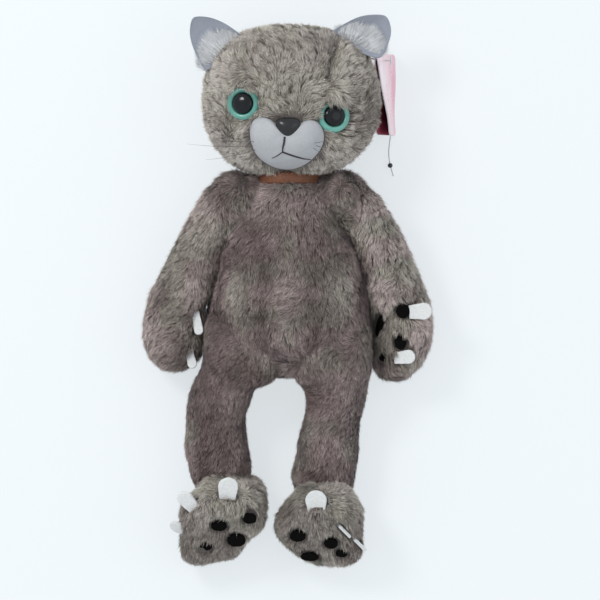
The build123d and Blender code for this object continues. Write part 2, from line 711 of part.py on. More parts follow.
os.makedirs("parts", exist_ok=True)
make_torso()
make_neck()
make_head()
make_arm("right", -1, RIGHT_ARM_SECTIONS, RIGHT_PALM_PADS, RIGHT_HAND_CLAWS)
make_arm("left", 1, LEFT_ARM_SECTIONS, LEFT_PALM_PADS, LEFT_HAND_CLAWS)
make_leg("right", RIGHT_LEG_SECTIONS, PELVIS_RIGHT_X, HIP_OUTER_RIGHT_X, RIGHT_ANKLE)
make_leg("left", LEFT_LEG_SECTIONS, PELVIS_LEFT_X, HIP_OUTER_LEFT_X, LEFT_ANKLE)
make_foot("right", RIGHT_ANKLE, RIGHT_SOLE_PADS, RIGHT_FOOT_CLAWS)
make_foot("left", LEFT_ANKLE, LEFT_SOLE_PADS, LEFT_FOOT_CLAWS)
make_tag()
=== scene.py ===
import math

import bpy
import numpy as np
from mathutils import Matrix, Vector
from mathutils.bvhtree import BVHTree


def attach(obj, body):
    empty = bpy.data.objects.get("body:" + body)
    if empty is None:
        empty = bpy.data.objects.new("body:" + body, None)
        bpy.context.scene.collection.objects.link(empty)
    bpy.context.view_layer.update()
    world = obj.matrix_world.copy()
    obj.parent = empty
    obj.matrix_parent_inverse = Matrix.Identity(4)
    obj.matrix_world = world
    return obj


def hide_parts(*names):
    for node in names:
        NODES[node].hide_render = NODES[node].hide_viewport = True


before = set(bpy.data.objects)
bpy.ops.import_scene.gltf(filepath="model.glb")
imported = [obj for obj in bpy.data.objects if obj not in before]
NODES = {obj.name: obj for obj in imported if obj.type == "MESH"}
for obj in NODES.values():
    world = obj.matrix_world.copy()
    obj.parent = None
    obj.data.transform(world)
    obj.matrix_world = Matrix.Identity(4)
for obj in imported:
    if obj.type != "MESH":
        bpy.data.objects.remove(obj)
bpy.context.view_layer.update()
MM = 0.001


# ---------------------------------------------------------------- camera, light and floor

CAMERA_HEIGHT = 7.5
VIEW_SPAN = 0.450          # metres across the square picture at the height of the toy's middle
VIEW_CENTRE = (0.0082, -0.0075)
MIDDLE_HEIGHT = 0.045


def make_camera():
    data = bpy.data.cameras.new("camera")
    camera = bpy.data.objects.new("camera", data)
    bpy.context.scene.collection.objects.link(camera)
    camera.location = (*VIEW_CENTRE, CAMERA_HEIGHT)
    data.sensor_width = 36.0
    data.lens = data.sensor_width * (CAMERA_HEIGHT - MIDDLE_HEIGHT) / VIEW_SPAN
    data.clip_end = 20.0
    bpy.context.scene.camera = camera


def area_light(name, place, size, power, colour):
    data = bpy.data.lights.new(name, "AREA")
    data.shape = "DISK"
    data.size = size
    data.energy = power
    data.color = colour
    light = bpy.data.objects.new(name, data)
    light.location = place
    light.rotation_euler = (-Vector(place)).to_track_quat("-Z", "Y").to_euler()
    bpy.context.scene.collection.objects.link(light)


def make_light():
    scene = bpy.context.scene
    scene.view_settings.view_transform = "Standard"
    scene.view_settings.look = "None"
    world = bpy.data.worlds.new("studio")
    world.use_nodes = True
    background = world.node_tree.nodes["Background"]
    background.inputs["Color"].default_value = (0.90, 0.96, 1.0, 1)
    background.inputs["Strength"].default_value = 0.86
    scene.world = world
    area_light("key", (-0.9, 0.8, 1.4), 0.5, 12.0, (1.0, 0.99, 0.97))
    area_light("fill", (1.2, 0.1, 1.4), 1.2, 2.0, (0.97, 0.99, 1.0))


def make_floor():
    size = 6.0
    mesh = bpy.data.meshes.new("floor")
    half = size / 2
    corners = [(-half, -half, -MM), (half, -half, -MM), (half, half, -MM), (-half, half, -MM)]
    mesh.from_pydata(corners, [], [(0, 1, 2, 3)])
    floor = bpy.data.objects.new("floor", mesh)
    bpy.context.scene.collection.objects.link(floor)
    material = bpy.data.materials.new("floor")
    material.use_nodes = True
    shader = material.node_tree.nodes["Principled BSDF"]
    shader.inputs["Base Color"].default_value = (0.26, 0.27, 0.275, 1)
    shader.inputs["Emission Color"].default_value = (0.92, 0.97, 1.0, 1)
    shader.inputs["Emission Strength"].default_value = 0.66
    shader.inputs["Roughness"].default_value = 0.9
    mesh.materials.append(material)


# ---------------------------------------------------------------- numbers and noise

def hashed(cells, salt):
    """A repeatable random number from 0 to 1 for each row of whole numbers."""
    x, y, z = (cells[:, i].astype(np.int64) for i in range(3))
    value = (x * 73856093) ^ (y * 19349663) ^ (z * 83492791) ^ (salt * 2654435761)
    value = (value ^ (value >> 13)) * 1274126177
    value = value ^ (value >> 16)
    return (value & 0xFFFFFF) / float(0xFFFFFF)


def soft_noise(points, size, salt=0):
    """Smooth noise from 0 to 1 with bumps of the given size."""
    scaled = points / size
    cell = np.floor(scaled)
    part = scaled - cell
    part = part * part * (3 - 2 * part)
    total = np.zeros(len(points))
    for i in (0, 1):
        for j in (0, 1):
            for k in (0, 1):
                weight = np.ones(len(points))
                for axis, step in enumerate((i, j, k)):
                    weight = weight * (part[:, axis] if step else 1 - part[:, axis])
                total += weight * hashed(cell + np.array([i, j, k]), salt)
    return total


def noise_vector(points, size, salt=0):
    """Smooth noise as a vector, each part from -1 to 1."""
    return np.stack([soft_noise(points, size, salt + 11 * i) * 2 - 1 for i in range(3)], axis=1)


def nearest_seed(points, size, salt=0):
    """The nearest of a scatter of seed points, one in each cell, and that seed's own random number."""
    cell = np.floor(points / size)
    best = np.full(len(points), 1e9)
    seed = np.zeros_like(points)
    number = np.zeros(len(points))
    for i in (-1, 0, 1):
        for j in (-1, 0, 1):
            for k in (-1, 0, 1):
                other = cell + np.array([i, j, k])
                place = np.stack([hashed(other, salt + n) for n in (1, 2, 3)], axis=1)
                place = (other + place) * size
                gap = np.linalg.norm(points - place, axis=1)
                closer = gap < best
                best = np.where(closer, gap, best)
                seed[closer] = place[closer]
                number[closer] = hashed(other[closer], salt + 4)
    return seed, number


def unit(vectors):
    return vectors / np.maximum(np.linalg.norm(vectors, axis=1, keepdims=True), 1e-9)


def smooth_step(value, low, high):
    t = np.clip((value - low) / (high - low), 0, 1)
    return t * t * (3 - 2 * t)


# ---------------------------------------------------------------- meshes

def new_object(name, mesh):
    made = bpy.data.objects.new(name, mesh)
    bpy.context.scene.collection.objects.link(made)
    return made


def mesh_object(name, vertices, faces, smooth=True):
    mesh = bpy.data.meshes.new(name)
    mesh.from_pydata([tuple(v) for v in vertices], [], [tuple(f) for f in faces])
    mesh.update()
    if smooth:
        mesh.shade_smooth()
    return new_object(name, mesh)


def read_vectors(items, key):
    """One vector from each item of a mesh collection, as rows."""
    values = np.zeros(len(items) * 3, np.float32)
    items.foreach_get(key, values)
    return values.reshape(-1, 3).astype(float)


def coordinates(obj):
    return read_vectors(obj.data.vertices, "co")


def set_coordinates(obj, values):
    obj.data.vertices.foreach_set("co", values.astype(np.float32).ravel())
    obj.data.update()


def vertex_normals(obj):
    return read_vectors(obj.data.vertex_normals, "vector")


def apply_modifiers(obj):
    graph = bpy.context.evaluated_depsgraph_get()
    mesh = bpy.data.meshes.new_from_object(obj.evaluated_get(graph))
    obj.modifiers.clear()
    old = obj.data
    obj.data = mesh
    bpy.data.meshes.remove(old)
    mesh.name = obj.name


def ball_rows(centre, radii, rings=20, steps=32):
    """Vertices and faces of a stretched ball."""
    vertices = [Vector(centre) + Vector((0, 0, radii[2]))]
    for ring in range(1, rings):
        lift = math.pi * ring / rings
        for step in range(steps):
            turn = 2 * math.pi * step / steps
            spot = (math.sin(lift) * math.cos(turn) * radii[0],
                    math.sin(lift) * math.sin(turn) * radii[1],
                    math.cos(lift) * radii[2])
            vertices.append(Vector(centre) + Vector(spot))
    vertices.append(Vector(centre) - Vector((0, 0, radii[2])))
    last = len(vertices) - 1
    faces = [(0, 1 + s, 1 + (s + 1) % steps) for s in range(steps)]
    for ring in range(rings - 2):
        a = 1 + ring * steps
        b = a + steps
        faces += [(a + s, b + s, b + (s + 1) % steps, a + (s + 1) % steps) for s in range(steps)]
    a = 1 + (rings - 2) * steps
    faces += [(a + s, last, a + (s + 1) % steps) for s in range(steps)]
    return vertices, faces


def add_shell(vertices, faces, more, more_faces):
    """Adds one mesh's vertices and faces to a growing pair of lists."""
    start = len(vertices)
    vertices += more
    faces += [tuple(start + i for i in face) for face in more_faces]


def soft_form(name, nodes, lumps=(), voxel=2.6 * MM, rounds=14, swell=0.0):
    """One closed skin round the given CAD solids and extra lumps (centre, radii), softened."""
    vertices, faces = [], []
    for node in nodes:
        source = NODES[node].data
        corners = [v.co.copy() for v in source.vertices]
        add_shell(vertices, faces, corners, [p.vertices for p in source.polygons])
    for centre, radii in lumps:
        add_shell(vertices, faces, *ball_rows([c * MM for c in centre], [r * MM for r in radii]))
    form = mesh_object(name, vertices, faces)
    remesh = form.modifiers.new("remesh", "REMESH")
    remesh.mode = "VOXEL"
    remesh.voxel_size = voxel
    soften = form.modifiers.new("soften", "SMOOTH")
    soften.factor = 0.5
    soften.iterations = rounds
    apply_modifiers(form)
    form.data.shade_smooth()
    if swell:
        set_coordinates(form, coordinates(form) + vertex_normals(form) * swell)
    return form


def dent(obj, pieces, depth, reach):
    """Presses a soft form in a little under the pieces that are sewn on it."""
    co, normals = coordinates(obj), vertex_normals(obj)
    for piece in pieces:
        tree = search_tree(piece)
        rows = coordinates(piece)
        low, high = rows.min(0) - 2 * reach * MM, rows.max(0) + 2 * reach * MM
        for i in np.nonzero(np.all((co > low) & (co < high), axis=1))[0]:
            gap = tree.find_nearest(Vector(co[i]))[3]
            co[i] -= normals[i] * depth * MM * math.exp(-((gap / (reach * MM)) ** 2))
    set_coordinates(obj, co)


def tuck_under(obj, piece, gap, most):
    """Presses a form down where it would cover a flat piece, except where the piece is rooted in it."""
    tree = search_tree(piece)
    rows = coordinates(piece)
    low, high = rows.min(0), rows.max(0)
    co = coordinates(obj)
    beside = np.all((co[:, :2] > low[:2] - MM) & (co[:, :2] < high[:2] + MM), axis=1)
    near = beside & (co[:, 2] > low[2] - 2 * MM)
    for i in np.nonzero(near)[0]:
        spot = tree.ray_cast(Vector((co[i][0], co[i][1], 0.0)), Vector((0, 0, 1)))[0]
        if spot is not None and 0 < co[i][2] - (spot.z - gap * MM) < most * MM:
            co[i][2] = spot.z - gap * MM
    set_coordinates(obj, co)


def rest_on_floor(obj, height):
    """Flattens what would be under the given height, as weight does."""
    co = coordinates(obj)
    co[:, 2] = np.maximum(co[:, 2], height)
    set_coordinates(obj, co)


def lumpy(obj, amount, size, salt):
    """Uneven stuffing."""
    co = coordinates(obj)
    shift = soft_noise(co, size, salt) - 0.5
    set_coordinates(obj, co + vertex_normals(obj) * (shift * 2 * amount)[:, None])


def grab(obj, spot, shift, reach):
    """Pulls the surface round a spot seen from above, in mm, fading out with distance."""
    co = coordinates(obj)
    gap = np.linalg.norm(co[:, :2] - np.array(spot) * MM, axis=1) / (reach * MM)
    shift = np.array((*shift, 0.0)[:3]) * MM
    set_coordinates(obj, co + np.exp(-gap ** 2)[:, None] * shift)


def beside_line(points, start, end):
    """Where points are along a line seen from above, from 0 to 1, and how far from it. Its ends are in mm."""
    a, b = np.array(start) * MM, np.array(end) * MM
    along = b - a
    t = np.clip(((points[:, :2] - a) @ along) / (along @ along), 0, 1)
    return t, np.linalg.norm(points[:, :2] - (a + t[:, None] * along), axis=1)


def crease(obj, start, end, depth, width):
    """Presses a soft furrow into the upper side along a line, in mm."""
    co = coordinates(obj)
    t, gap = beside_line(co, start, end)
    normals = vertex_normals(obj)
    amount = np.exp(-(gap / (width * MM)) ** 2) * smooth_step(normals[:, 2], -0.1, 0.4)
    amount *= smooth_step(np.minimum(t, 1 - t), -0.02, 0.18) * 0.9 + 0.1
    set_coordinates(obj, co - normals * (amount * depth * MM)[:, None])


def search_tree(obj):
    """For finding the nearest place on a mesh."""
    return BVHTree.FromPolygons([v.co for v in obj.data.vertices], [p.vertices for p in obj.data.polygons])


# ---------------------------------------------------------------- materials

def linear(colour):
    """Linear light from an ordinary 0 to 255 colour."""
    values = [c / 255 for c in colour]
    return tuple(v / 12.92 if v <= 0.04045 else ((v + 0.055) / 1.055) ** 2.4 for v in values) + (1.0,)


def plain_fibre(name, colour, roughness=0.8, sheen=0.15):
    """One shade of pile fibre. The pile's pattern comes from many shades on separate fibres."""
    material = bpy.data.materials.new(name)
    material.use_nodes = True
    shader = material.node_tree.nodes["Principled BSDF"]
    shader.inputs["Base Color"].default_value = linear(colour)
    shader.inputs["Roughness"].default_value = roughness
    shader.inputs["Specular IOR Level"].default_value = 0.25
    shader.inputs["Sheen Weight"].default_value = sheen
    shader.inputs["Sheen Roughness"].default_value = 0.5
    return material


class Nodes:
    """A short way to write a node material."""

    def __init__(self, name):
        self.material = bpy.data.materials.new(name)
        self.material.use_nodes = True
        self.tree = self.material.node_tree
        self.shader = self.tree.nodes["Principled BSDF"]

    def add(self, kind, **values):
        node = self.tree.nodes.new(kind)
        for key, value in values.items():
            if hasattr(node, key):
                setattr(node, key, value)
            else:
                node.inputs[key.replace("_", " ")].default_value = value
        return node

    def link(self, out, into):
        self.tree.links.new(out, into)

    def position(self):
        return self.add("ShaderNodeTexCoord").outputs["Object"]

    def noise(self, scale, detail=3.0, roughness=0.55, stretch=None):
        node = self.add("ShaderNodeTexNoise", Scale=scale, Detail=detail, Roughness=roughness)
        place = self.position()
        if stretch:
            mapping = self.add("ShaderNodeMapping")
            mapping.inputs["Scale"].default_value = stretch
            self.link(place, mapping.inputs["Vector"])
            place = mapping.outputs["Vector"]
        self.link(place, node.inputs["Vector"])
        return node.outputs["Fac"]

    def ramp(self, factor, stops):
        node = self.add("ShaderNodeValToRGB")
        ramp = node.color_ramp
        while len(ramp.elements) < len(stops):
            ramp.elements.new(0.5)
        for element, (place, colour) in zip(ramp.elements, stops):
            element.position = place
            element.color = linear(colour)
        self.link(factor, node.inputs["Fac"])
        return node.outputs["Color"]

    def mix(self, factor, first, second):
        node = self.add("ShaderNodeMix", data_type="RGBA")
        if isinstance(factor, float):
            node.inputs["Factor"].default_value = factor
        else:
            self.link(factor, node.inputs["Factor"])
        self.link(first, node.inputs["A"])
        self.link(second, node.inputs["B"])
        return node.outputs["Result"]

    def colour(self, socket):
        self.link(socket, self.shader.inputs["Base Color"])

    def bump(self, height, strength, distance):
        node = self.add("ShaderNodeBump", Strength=strength, Distance=distance)
        self.link(height, node.inputs["Height"])
        self.link(node.outputs["Normal"], self.shader.inputs["Normal"])

    def rough_from(self, factor, low, high):
        node = self.add("ShaderNodeMapRange")
        node.inputs["To Min"].default_value = low
        node.inputs["To Max"].default_value = high
        self.link(factor, node.inputs["Value"])
        self.link(node.outputs["Result"], self.shader.inputs["Roughness"])

    def finish(self, **values):
        for key, value in values.items():
            self.shader.inputs[key.replace("_", " ")].default_value = value
        return self.material


def backing_material(name, dark, light):
    """The woven backing that shows between the pile."""
    n = Nodes(name)
    n.colour(n.ramp(n.noise(260.0, 4.0), [(0.3, dark), (0.7, light)]))
    n.bump(n.noise(1400.0, 2.0), 0.6, 0.0006)
    n.rough_from(n.noise(90.0), 0.8, 0.95)
    return n.finish(Sheen_Weight=0.3)


def velour_material(name, stops, grain=1500.0, nap=0.35):
    """A short even pile: fine grain, faint brushed patches and a soft sheen."""
    n = Nodes(name)
    broad = n.noise(38.0, 3.0)
    fine = n.noise(grain, 2.0, stretch=(1.0, 0.35, 1.0))
    n.colour(n.mix(0.35, n.ramp(broad, stops), n.ramp(fine, stops)))
    n.bump(fine, nap, 0.0004)
    n.rough_from(broad, 0.72, 0.9)
    return n.finish(Sheen_Weight=0.5, Sheen_Roughness=0.4, Specular_IOR_Level=0.2)


def felt_material(name, stops, grain=900.0, sheen=0.4, gloss=0.15):
    """Pressed felt: tangled fibres and faint pilling."""
    n = Nodes(name)
    tangle = n.noise(grain, 6.0, 0.75)
    n.colour(n.ramp(tangle, stops))
    n.bump(tangle, 0.8, 0.0005)
    n.rough_from(n.noise(200.0), 0.85, 1.0)
    return n.finish(Sheen_Weight=sheen, Specular_IOR_Level=gloss)


# ---------------------------------------------------------------- fur

FUR_SHADES = [
    (58, 51, 48), (74, 66, 62), (90, 81, 77), (105, 96, 92), (120, 112, 107), (134, 127, 122),
    (149, 143, 137), (165, 160, 153), (183, 178, 171), (203, 200, 194),
]


def fur_palette(prefix, *tints):
    """Shades of pile from dark to light, once for each tint. Fibres take darker ones at their roots as
    painted shade and lighter ones at their tips as painted light.
    """
    made = []
    for tint in tints:
        for shade in FUR_SHADES:
            colour = [min(255, c * t) for c, t in zip(shade, tint)]
            made.append(plain_fibre(f"{prefix}_{len(made)}", colour))
    return made


def sample_surface(obj, per_square_metre, seed, underside=0.45):
    """Random places on a mesh with their normals, fewer underneath."""
    obj.data.calc_loop_triangles()
    triangles = np.zeros(len(obj.data.loop_triangles) * 3, np.int32)
    obj.data.loop_triangles.foreach_get("vertices", triangles)
    triangles = triangles.reshape(-1, 3)
    co, normals = coordinates(obj), vertex_normals(obj)
    a, b, c = (co[triangles[:, i]] for i in range(3))
    flat = np.cross(b - a, c - a)
    area = np.linalg.norm(flat, axis=1) / 2
    facing = flat[:, 2] / np.maximum(2 * area, 1e-12)
    weight = area * (underside + (1 - underside) * smooth_step(facing, -0.75, -0.2))
    count = int(weight.sum() * per_square_metre)
    rng = np.random.default_rng(seed)
    chosen = rng.choice(len(triangles), size=count, p=weight / weight.sum())
    u, v = rng.random(count), rng.random(count)
    over = u + v > 1
    u[over], v[over] = 1 - u[over], 1 - v[over]
    w = 1 - u - v
    mixed = [values[triangles[chosen]] for values in (co, normals)]
    places, facings = ((m[:, 0] * w[:, None] + m[:, 1] * u[:, None] + m[:, 2] * v[:, None]) for m in mixed)
    return places, unit(facings), rng


def covered(points, tree, margin):
    """Which points are inside a closed mesh or nearer to it than the margin."""
    result = np.zeros(len(points), bool)
    for i, point in enumerate(points):
        spot = Vector(point)
        place, normal, _, gap = tree.find_nearest(spot, 0.04)
        if place is not None:
            result[i] = gap < margin or (spot - place).dot(normal) < 0
    return result


def clear_of(points, bare, end):
    """Which points are clear of every (mesh object, root margin, tip margin) in a list, in mm.

    end is 0 to test fibre roots and 1 to test the rest of a fibre."""
    clear = np.ones(len(points), bool)
    for obj, *margins in bare:
        margin = margins[end]
        if margin is None:
            continue
        co = coordinates(obj)
        low, high = co.min(0) - margin * MM, co.max(0) + margin * MM
        near = clear & np.all((points > low) & (points < high), axis=1)
        clear[near] &= ~covered(points[near], search_tree(obj), margin * MM)
    return clear


# depth: how many shades darker a fibre's root face is than its tip face, painted shade deep in the pile.
PILE = dict(per_square_metre=3.0e6, length=6.5, lift=0.42, width=0.38, clump=3.6, pull=0.45, swirl=0.45,
            depth=1.5, contrast=1.1, ragged=0.7, second_hue=0.6, loose=0.14)


PILE_OFF_FLOOR = 0.35 * MM


def grow_fur(name, form, nap, palette, shade, seed, body, bare=(), split=1, underside=0.45, longer=None,
             **changes):
    """Pile fibres as tapered ribbons on a form.

    nap(points) gives the direction that the pile lies in, shade(points) how light it is, in steps of the
    palette, and longer(points) how many times its length it has. Longer pile also stands up more. No fibre
    starts or ends on the pieces in bare. Long coats are split into several pieces."""
    pile = dict(PILE, **changes)
    roots, normals, rng = sample_surface(form, pile["per_square_metre"], seed, underside)
    count = len(roots)
    swirl = noise_vector(roots, 20 * MM, seed) + noise_vector(roots, 7 * MM, seed + 5) * 0.7
    flow = nap(roots) + swirl * pile["swirl"]
    flow = unit(flow - normals * np.sum(flow * normals, axis=1, keepdims=True))
    seed_place, seed_number = nearest_seed(roots, pile["clump"] * MM, seed)
    twist = noise_vector(seed_place, pile["clump"] * 0.7 * MM, seed + 9)
    loose = rng.random(count) < pile["loose"]
    gather = pile["pull"] * (0.35 + 1.3 * soft_noise(roots, 9 * MM, seed + 2)) * ~loose
    direction = flow + twist * 0.4 * pile["pull"] / 0.45 + rng.normal(0, 0.14, (count, 3))
    direction = unit(direction - normals * np.sum(direction * normals, axis=1, keepdims=True))
    rise = pile["lift"] * (0.75 + 0.5 * seed_number) + rng.normal(0, 0.07, count) + loose * 0.25
    reach = pile["length"] * MM * (0.82 + 0.28 * seed_number + rng.normal(0, 0.09, count))
    if longer:
        more = longer(roots)
        reach = reach * more
        rise = rise + 0.5 * (more - 1)
    reach = np.maximum(reach, 1.2 * MM)
    tip = roots + direction * (reach * np.cos(rise))[:, None] + normals * (reach * np.sin(rise))[:, None]
    tuft = seed_place - normals * np.sum((seed_place - roots) * normals, axis=1, keepdims=True)
    tip = tip + (tuft - roots) * gather[:, None]
    middle = roots + (tip - roots) * 0.5 + normals * (reach * 0.13)[:, None]
    side = unit(np.cross(direction, normals) + normals * rng.normal(0, 0.35, count)[:, None])
    broad = (pile["width"] * MM * (0.8 + 0.4 * rng.random(count)))[:, None]
    level = shade(roots) + (seed_number - 0.5) * pile["contrast"] + rng.normal(0, pile["ragged"], count)
    level += loose * 0.8
    if bare:
        keep = clear_of(roots, bare, 0)
        for points in (middle, tip):
            keep[keep] = clear_of(points[keep], bare, 1)
        roots, middle, tip, side = roots[keep], middle[keep], tip[keep], side[keep]
        broad, level = broad[keep], level[keep]
    rows = ribbon_rows(roots, middle, tip, side, broad, 0.42)
    rows[:, :, 2] = np.maximum(rows[:, :, 2], PILE_OFF_FLOOR)
    steps = len(FUR_SHADES) - 1
    hue = soft_noise(roots, 17 * MM, 61) + rng.normal(0, 0.09, len(roots)) > pile["second_hue"]
    hue = hue * len(FUR_SHADES)
    # Painted shade and light: each fibre's root face is a shade darker and its tip face a shade lighter than
    # its level.
    low = (shade_steps(level - pile["depth"] * 0.6, steps) + hue).astype(np.int32)
    high = (shade_steps(level + pile["depth"] * 0.4, steps) + hue).astype(np.int32)
    for part in range(split):
        title = name if split == 1 else f"{name}_{part + 1}"
        coat = ribbons(title, rows[part::split], low[part::split], high[part::split], palette)
        place(coat, body, "fur")


def ribbon_rows(roots, middle, tip, side, broad, waist):
    """The five corners of each tapered ribbon: two at its root, two at its waist and one at its tip."""
    return np.stack([roots - side * broad / 2, roots + side * broad / 2,
                     middle - side * broad * waist, middle + side * broad * waist, tip], axis=1)


def shade_steps(level, steps):
    """Whole palette steps from shades that run past either end of it."""
    return np.clip(np.round(level), 0, steps)


def ribbons(name, rows, low, high, palette):
    """One mesh of many tapered ribbons, each a four-sided foot and a three-sided tip."""
    count = len(rows)
    mesh = bpy.data.meshes.new(name)
    mesh.vertices.add(count * 5)
    mesh.vertices.foreach_set("co", rows.reshape(-1).astype(np.float32))
    base = (np.arange(count) * 5)[:, None]
    corners = (base + np.array([[0, 1, 3, 2, 2, 3, 4]])).astype(np.int32)
    mesh.loops.add(count * 7)
    mesh.loops.foreach_set("vertex_index", corners.reshape(-1))
    mesh.polygons.add(count * 2)
    starts = ((np.arange(count) * 7)[:, None] + np.array([[0, 4]])).astype(np.int32)
    mesh.polygons.foreach_set("loop_start", starts.reshape(-1))
    for material in palette:
        mesh.materials.append(material)
    mesh.polygons.foreach_set("material_index", np.stack([low, high], axis=1).reshape(-1).astype(np.int32))
    mesh.update(calc_edges=True)
    mesh.validate()
    return new_object(name, mesh)


def scattered_hairs(name, roots, directions, lengths, width, palette, seed):
    """Separate fine hairs from given roots, each with a slight bend."""
    rng = np.random.default_rng(seed)
    count = len(roots)
    directions = unit(directions)
    across = unit(np.cross(directions, rng.normal(0, 1, (count, 3))))
    bend = np.cross(directions, across) * (lengths * rng.normal(0, 0.06, count))[:, None]
    tip = roots + directions * lengths[:, None]
    middle = (roots + tip) / 2 + bend
    broad = (width * MM * (0.7 + 0.6 * rng.random(count)))[:, None]
    rows = ribbon_rows(roots, middle, tip, across, broad, 0.4)
    steps = len(palette) - 1
    level = rng.normal(steps * 0.55, steps * 0.25, count)
    # Painted shade and light: each hair's root face is a shade darker and its tip face a shade lighter.
    low = shade_steps(level - 0.5, steps).astype(np.int32)
    high = shade_steps(level + 0.5, steps).astype(np.int32)
    return ribbons(name, rows, low, high, palette)


# ---------------------------------------------------------------- shaping helpers

def place(piece, body, slot, *nodes):
    """Gives a piece its body and hides the CAD nodes that it stands for. The slot is not used."""
    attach(piece, body)
    if nodes:
        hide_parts(*nodes)
    return piece


def chaikin(points, rounds, closed=True):
    """An outline with its corners cut round. An open one keeps its ends."""
    points = [Vector(p) for p in points]
    for _ in range(rounds):
        cut = [] if closed else [points[0]]
        for a, b in zip(points, points[1:] + points[:1] if closed else points[1:]):
            cut += [a * 0.75 + b * 0.25, a * 0.25 + b * 0.75]
        points = cut if closed else cut + [points[-1]]
    return points


def ring_solid(name, rings, materials=(), cap_start=True, cap_end=True, closed=False):
    """A skin through a row of rings of points, each with as many points as the others."""
    count = len(rings[0])
    vertices = [p for ring in rings for p in ring]
    faces = []
    rows = len(rings) if closed else len(rings) - 1
    for i in range(rows):
        a, b = i * count, ((i + 1) % len(rings)) * count
        faces += [(a + k, a + (k + 1) % count, b + (k + 1) % count, b + k) for k in range(count)]
    if cap_start and not closed:
        faces.append(tuple(range(count - 1, -1, -1)))
    if cap_end and not closed:
        last = (len(rings) - 1) * count
        faces.append(tuple(last + k for k in range(count)))
    made = mesh_object(name, vertices, faces)
    for material in materials:
        made.data.materials.append(material)
    return made


def tube(points, radius, sides=8, taper=None):
    """Rings for a round thread through some points. taper(t) scales its radius along it."""
    points = [Vector(p) for p in points]
    rings = []
    for i, point in enumerate(points):
        ahead = points[min(i + 1, len(points) - 1)] - points[max(i - 1, 0)]
        across = ahead.cross(Vector((0, 0, 1)))
        if across.length < 1e-9:
            across = Vector((1, 0, 0))
        across.normalize()
        up = across.cross(ahead).normalized()
        size = radius * (taper(i / (len(points) - 1)) if taper else 1)
        turns = [2 * math.pi * k / sides for k in range(sides)]
        rings.append([point + (across * math.cos(t) + up * math.sin(t)) * size for t in turns])
    return rings


def join(name, pieces):
    """Several objects made into one."""
    vertices, faces, slots, materials, smooth = [], [], [], [], []
    for piece in pieces:
        shift = [materials.index(m) if m in materials else None for m in piece.data.materials]
        for i, m in enumerate(piece.data.materials):
            if shift[i] is None:
                materials.append(m)
                shift[i] = len(materials) - 1
        polygons = piece.data.polygons
        add_shell(vertices, faces, [v.co.copy() for v in piece.data.vertices], [p.vertices for p in polygons])
        for p in polygons:
            slots.append(shift[p.material_index] if shift else 0)
            smooth.append(p.use_smooth)
    made = mesh_object(name, vertices, faces)
    for m in materials:
        made.data.materials.append(m)
    made.data.polygons.foreach_set("material_index", slots)
    made.data.polygons.foreach_set("use_smooth", smooth)
    for piece in pieces:
        bpy.data.objects.remove(piece)
    return made


def rounded_node(name, node, voxel, rounds, rough=0.0, rough_size=1.2):
    """A CAD piece with its edges rounded and its surface slightly uneven."""
    piece = soft_form(name, [node], voxel=voxel * MM, rounds=rounds)
    if rough:
        lumpy(piece, rough * MM, rough_size * MM, 77)
    return piece


def repaint(piece, material):
    piece.data.materials.clear()
    piece.data.materials.append(material)


def finished(piece, material, body, slot, *nodes):
    repaint(piece, material)
    return place(piece, body, slot, *nodes)


# ---------------------------------------------------------------- how the pile lies and its shades

NOSE = np.array([-0.8, 121.5, 100.6]) * MM
EYES = {"right": np.array([-33.8, 139.1, 89.0]) * MM, "left": np.array([33.0, 129.8, 88.6]) * MM}
EYE_TILT = 17.0
NECK = np.array([0, 84, 40]) * MM


def lying(x, y, z=0.0, spread=0.0):
    """A pile direction that is the same everywhere, apart from a spread away from the middle."""
    def flow(points):
        result = np.tile((x, y, z), (len(points), 1))
        result[:, 0] += points[:, 0] * spread
        return result
    return flow


DOWN_THE_BODY = lying(-0.22, -1.0, spread=4.0)
DOWN_THE_LEG = lying(-0.5, -1.0)
DOWN_THE_FOOT = lying(0.0, -0.8, -0.3)


def face_flow(points):
    """The head's pile runs away from the nose, and hangs down over the tops of the eyes."""
    flow = unit(points - NOSE)
    flow[:, 2] -= 0.2
    flow[:, 0] -= 0.25 * smooth_step(points[:, 1], 0.14, 0.18)
    for eye in EYES.values():
        brow = eye + np.array([0, 15, 0]) * MM
        gap = np.linalg.norm((points - brow)[:, :2], axis=1)
        near = np.exp(-((gap / (9 * MM)) ** 2))[:, None] * 0.9
        flow = flow * (1 - near) + np.array([0.35, -1.0, 0.0]) * near
    return unit(flow)


def brow_length(points):
    """Longer pile over the eyes, most of all over the left one."""
    scale = np.ones(len(points))
    for name, more in (("right", 0.35), ("left", 0.85)):
        gap = np.linalg.norm((points - EYES[name] - np.array([0, 15, 0]) * MM)[:, :2], axis=1)
        scale += more * np.exp(-((gap / (8 * MM)) ** 2))
    return scale


def near_line(points, start, end, width):
    """1 on a line seen from above, in mm, fading to 0 at the width."""
    return np.exp(-((beside_line(points, start, end)[1] / (width * MM)) ** 2))


def patches(points, level, spread, size, salt, fine=0.0, fine_size=8):
    """Shade that wanders by the spread about a level, in broad patches with fine ones over them, in mm."""
    shade = level + (soft_noise(points, size * MM, salt) - 0.5) * 2 * spread
    return shade + (soft_noise(points, fine_size * MM, salt + 1) - 0.5) * fine


def head_shade(points):
    shade = patches(points, 6.4, 1.2, 26, 31, 1.8)
    shade += 1.2 * smooth_step(points[:, 1], 0.17, 0.198)
    # Painted light and shade: the head's -X side is paler and its +X side darker, as the light falls from the
    # -X side.
    shade += 0.8 * smooth_step(-points[:, 0], 0.01, 0.06) - 1.2 * smooth_step(points[:, 0], 0.035, 0.06)
    # Painted shade: a dark line along the brow fold, where the fold is shaded.
    shade -= 1.8 * near_line(points, (33.5, 184), (26.5, 153), 2.6)
    return shade + 1.5 * near_line(points, (43, 182), (37, 152), 7)


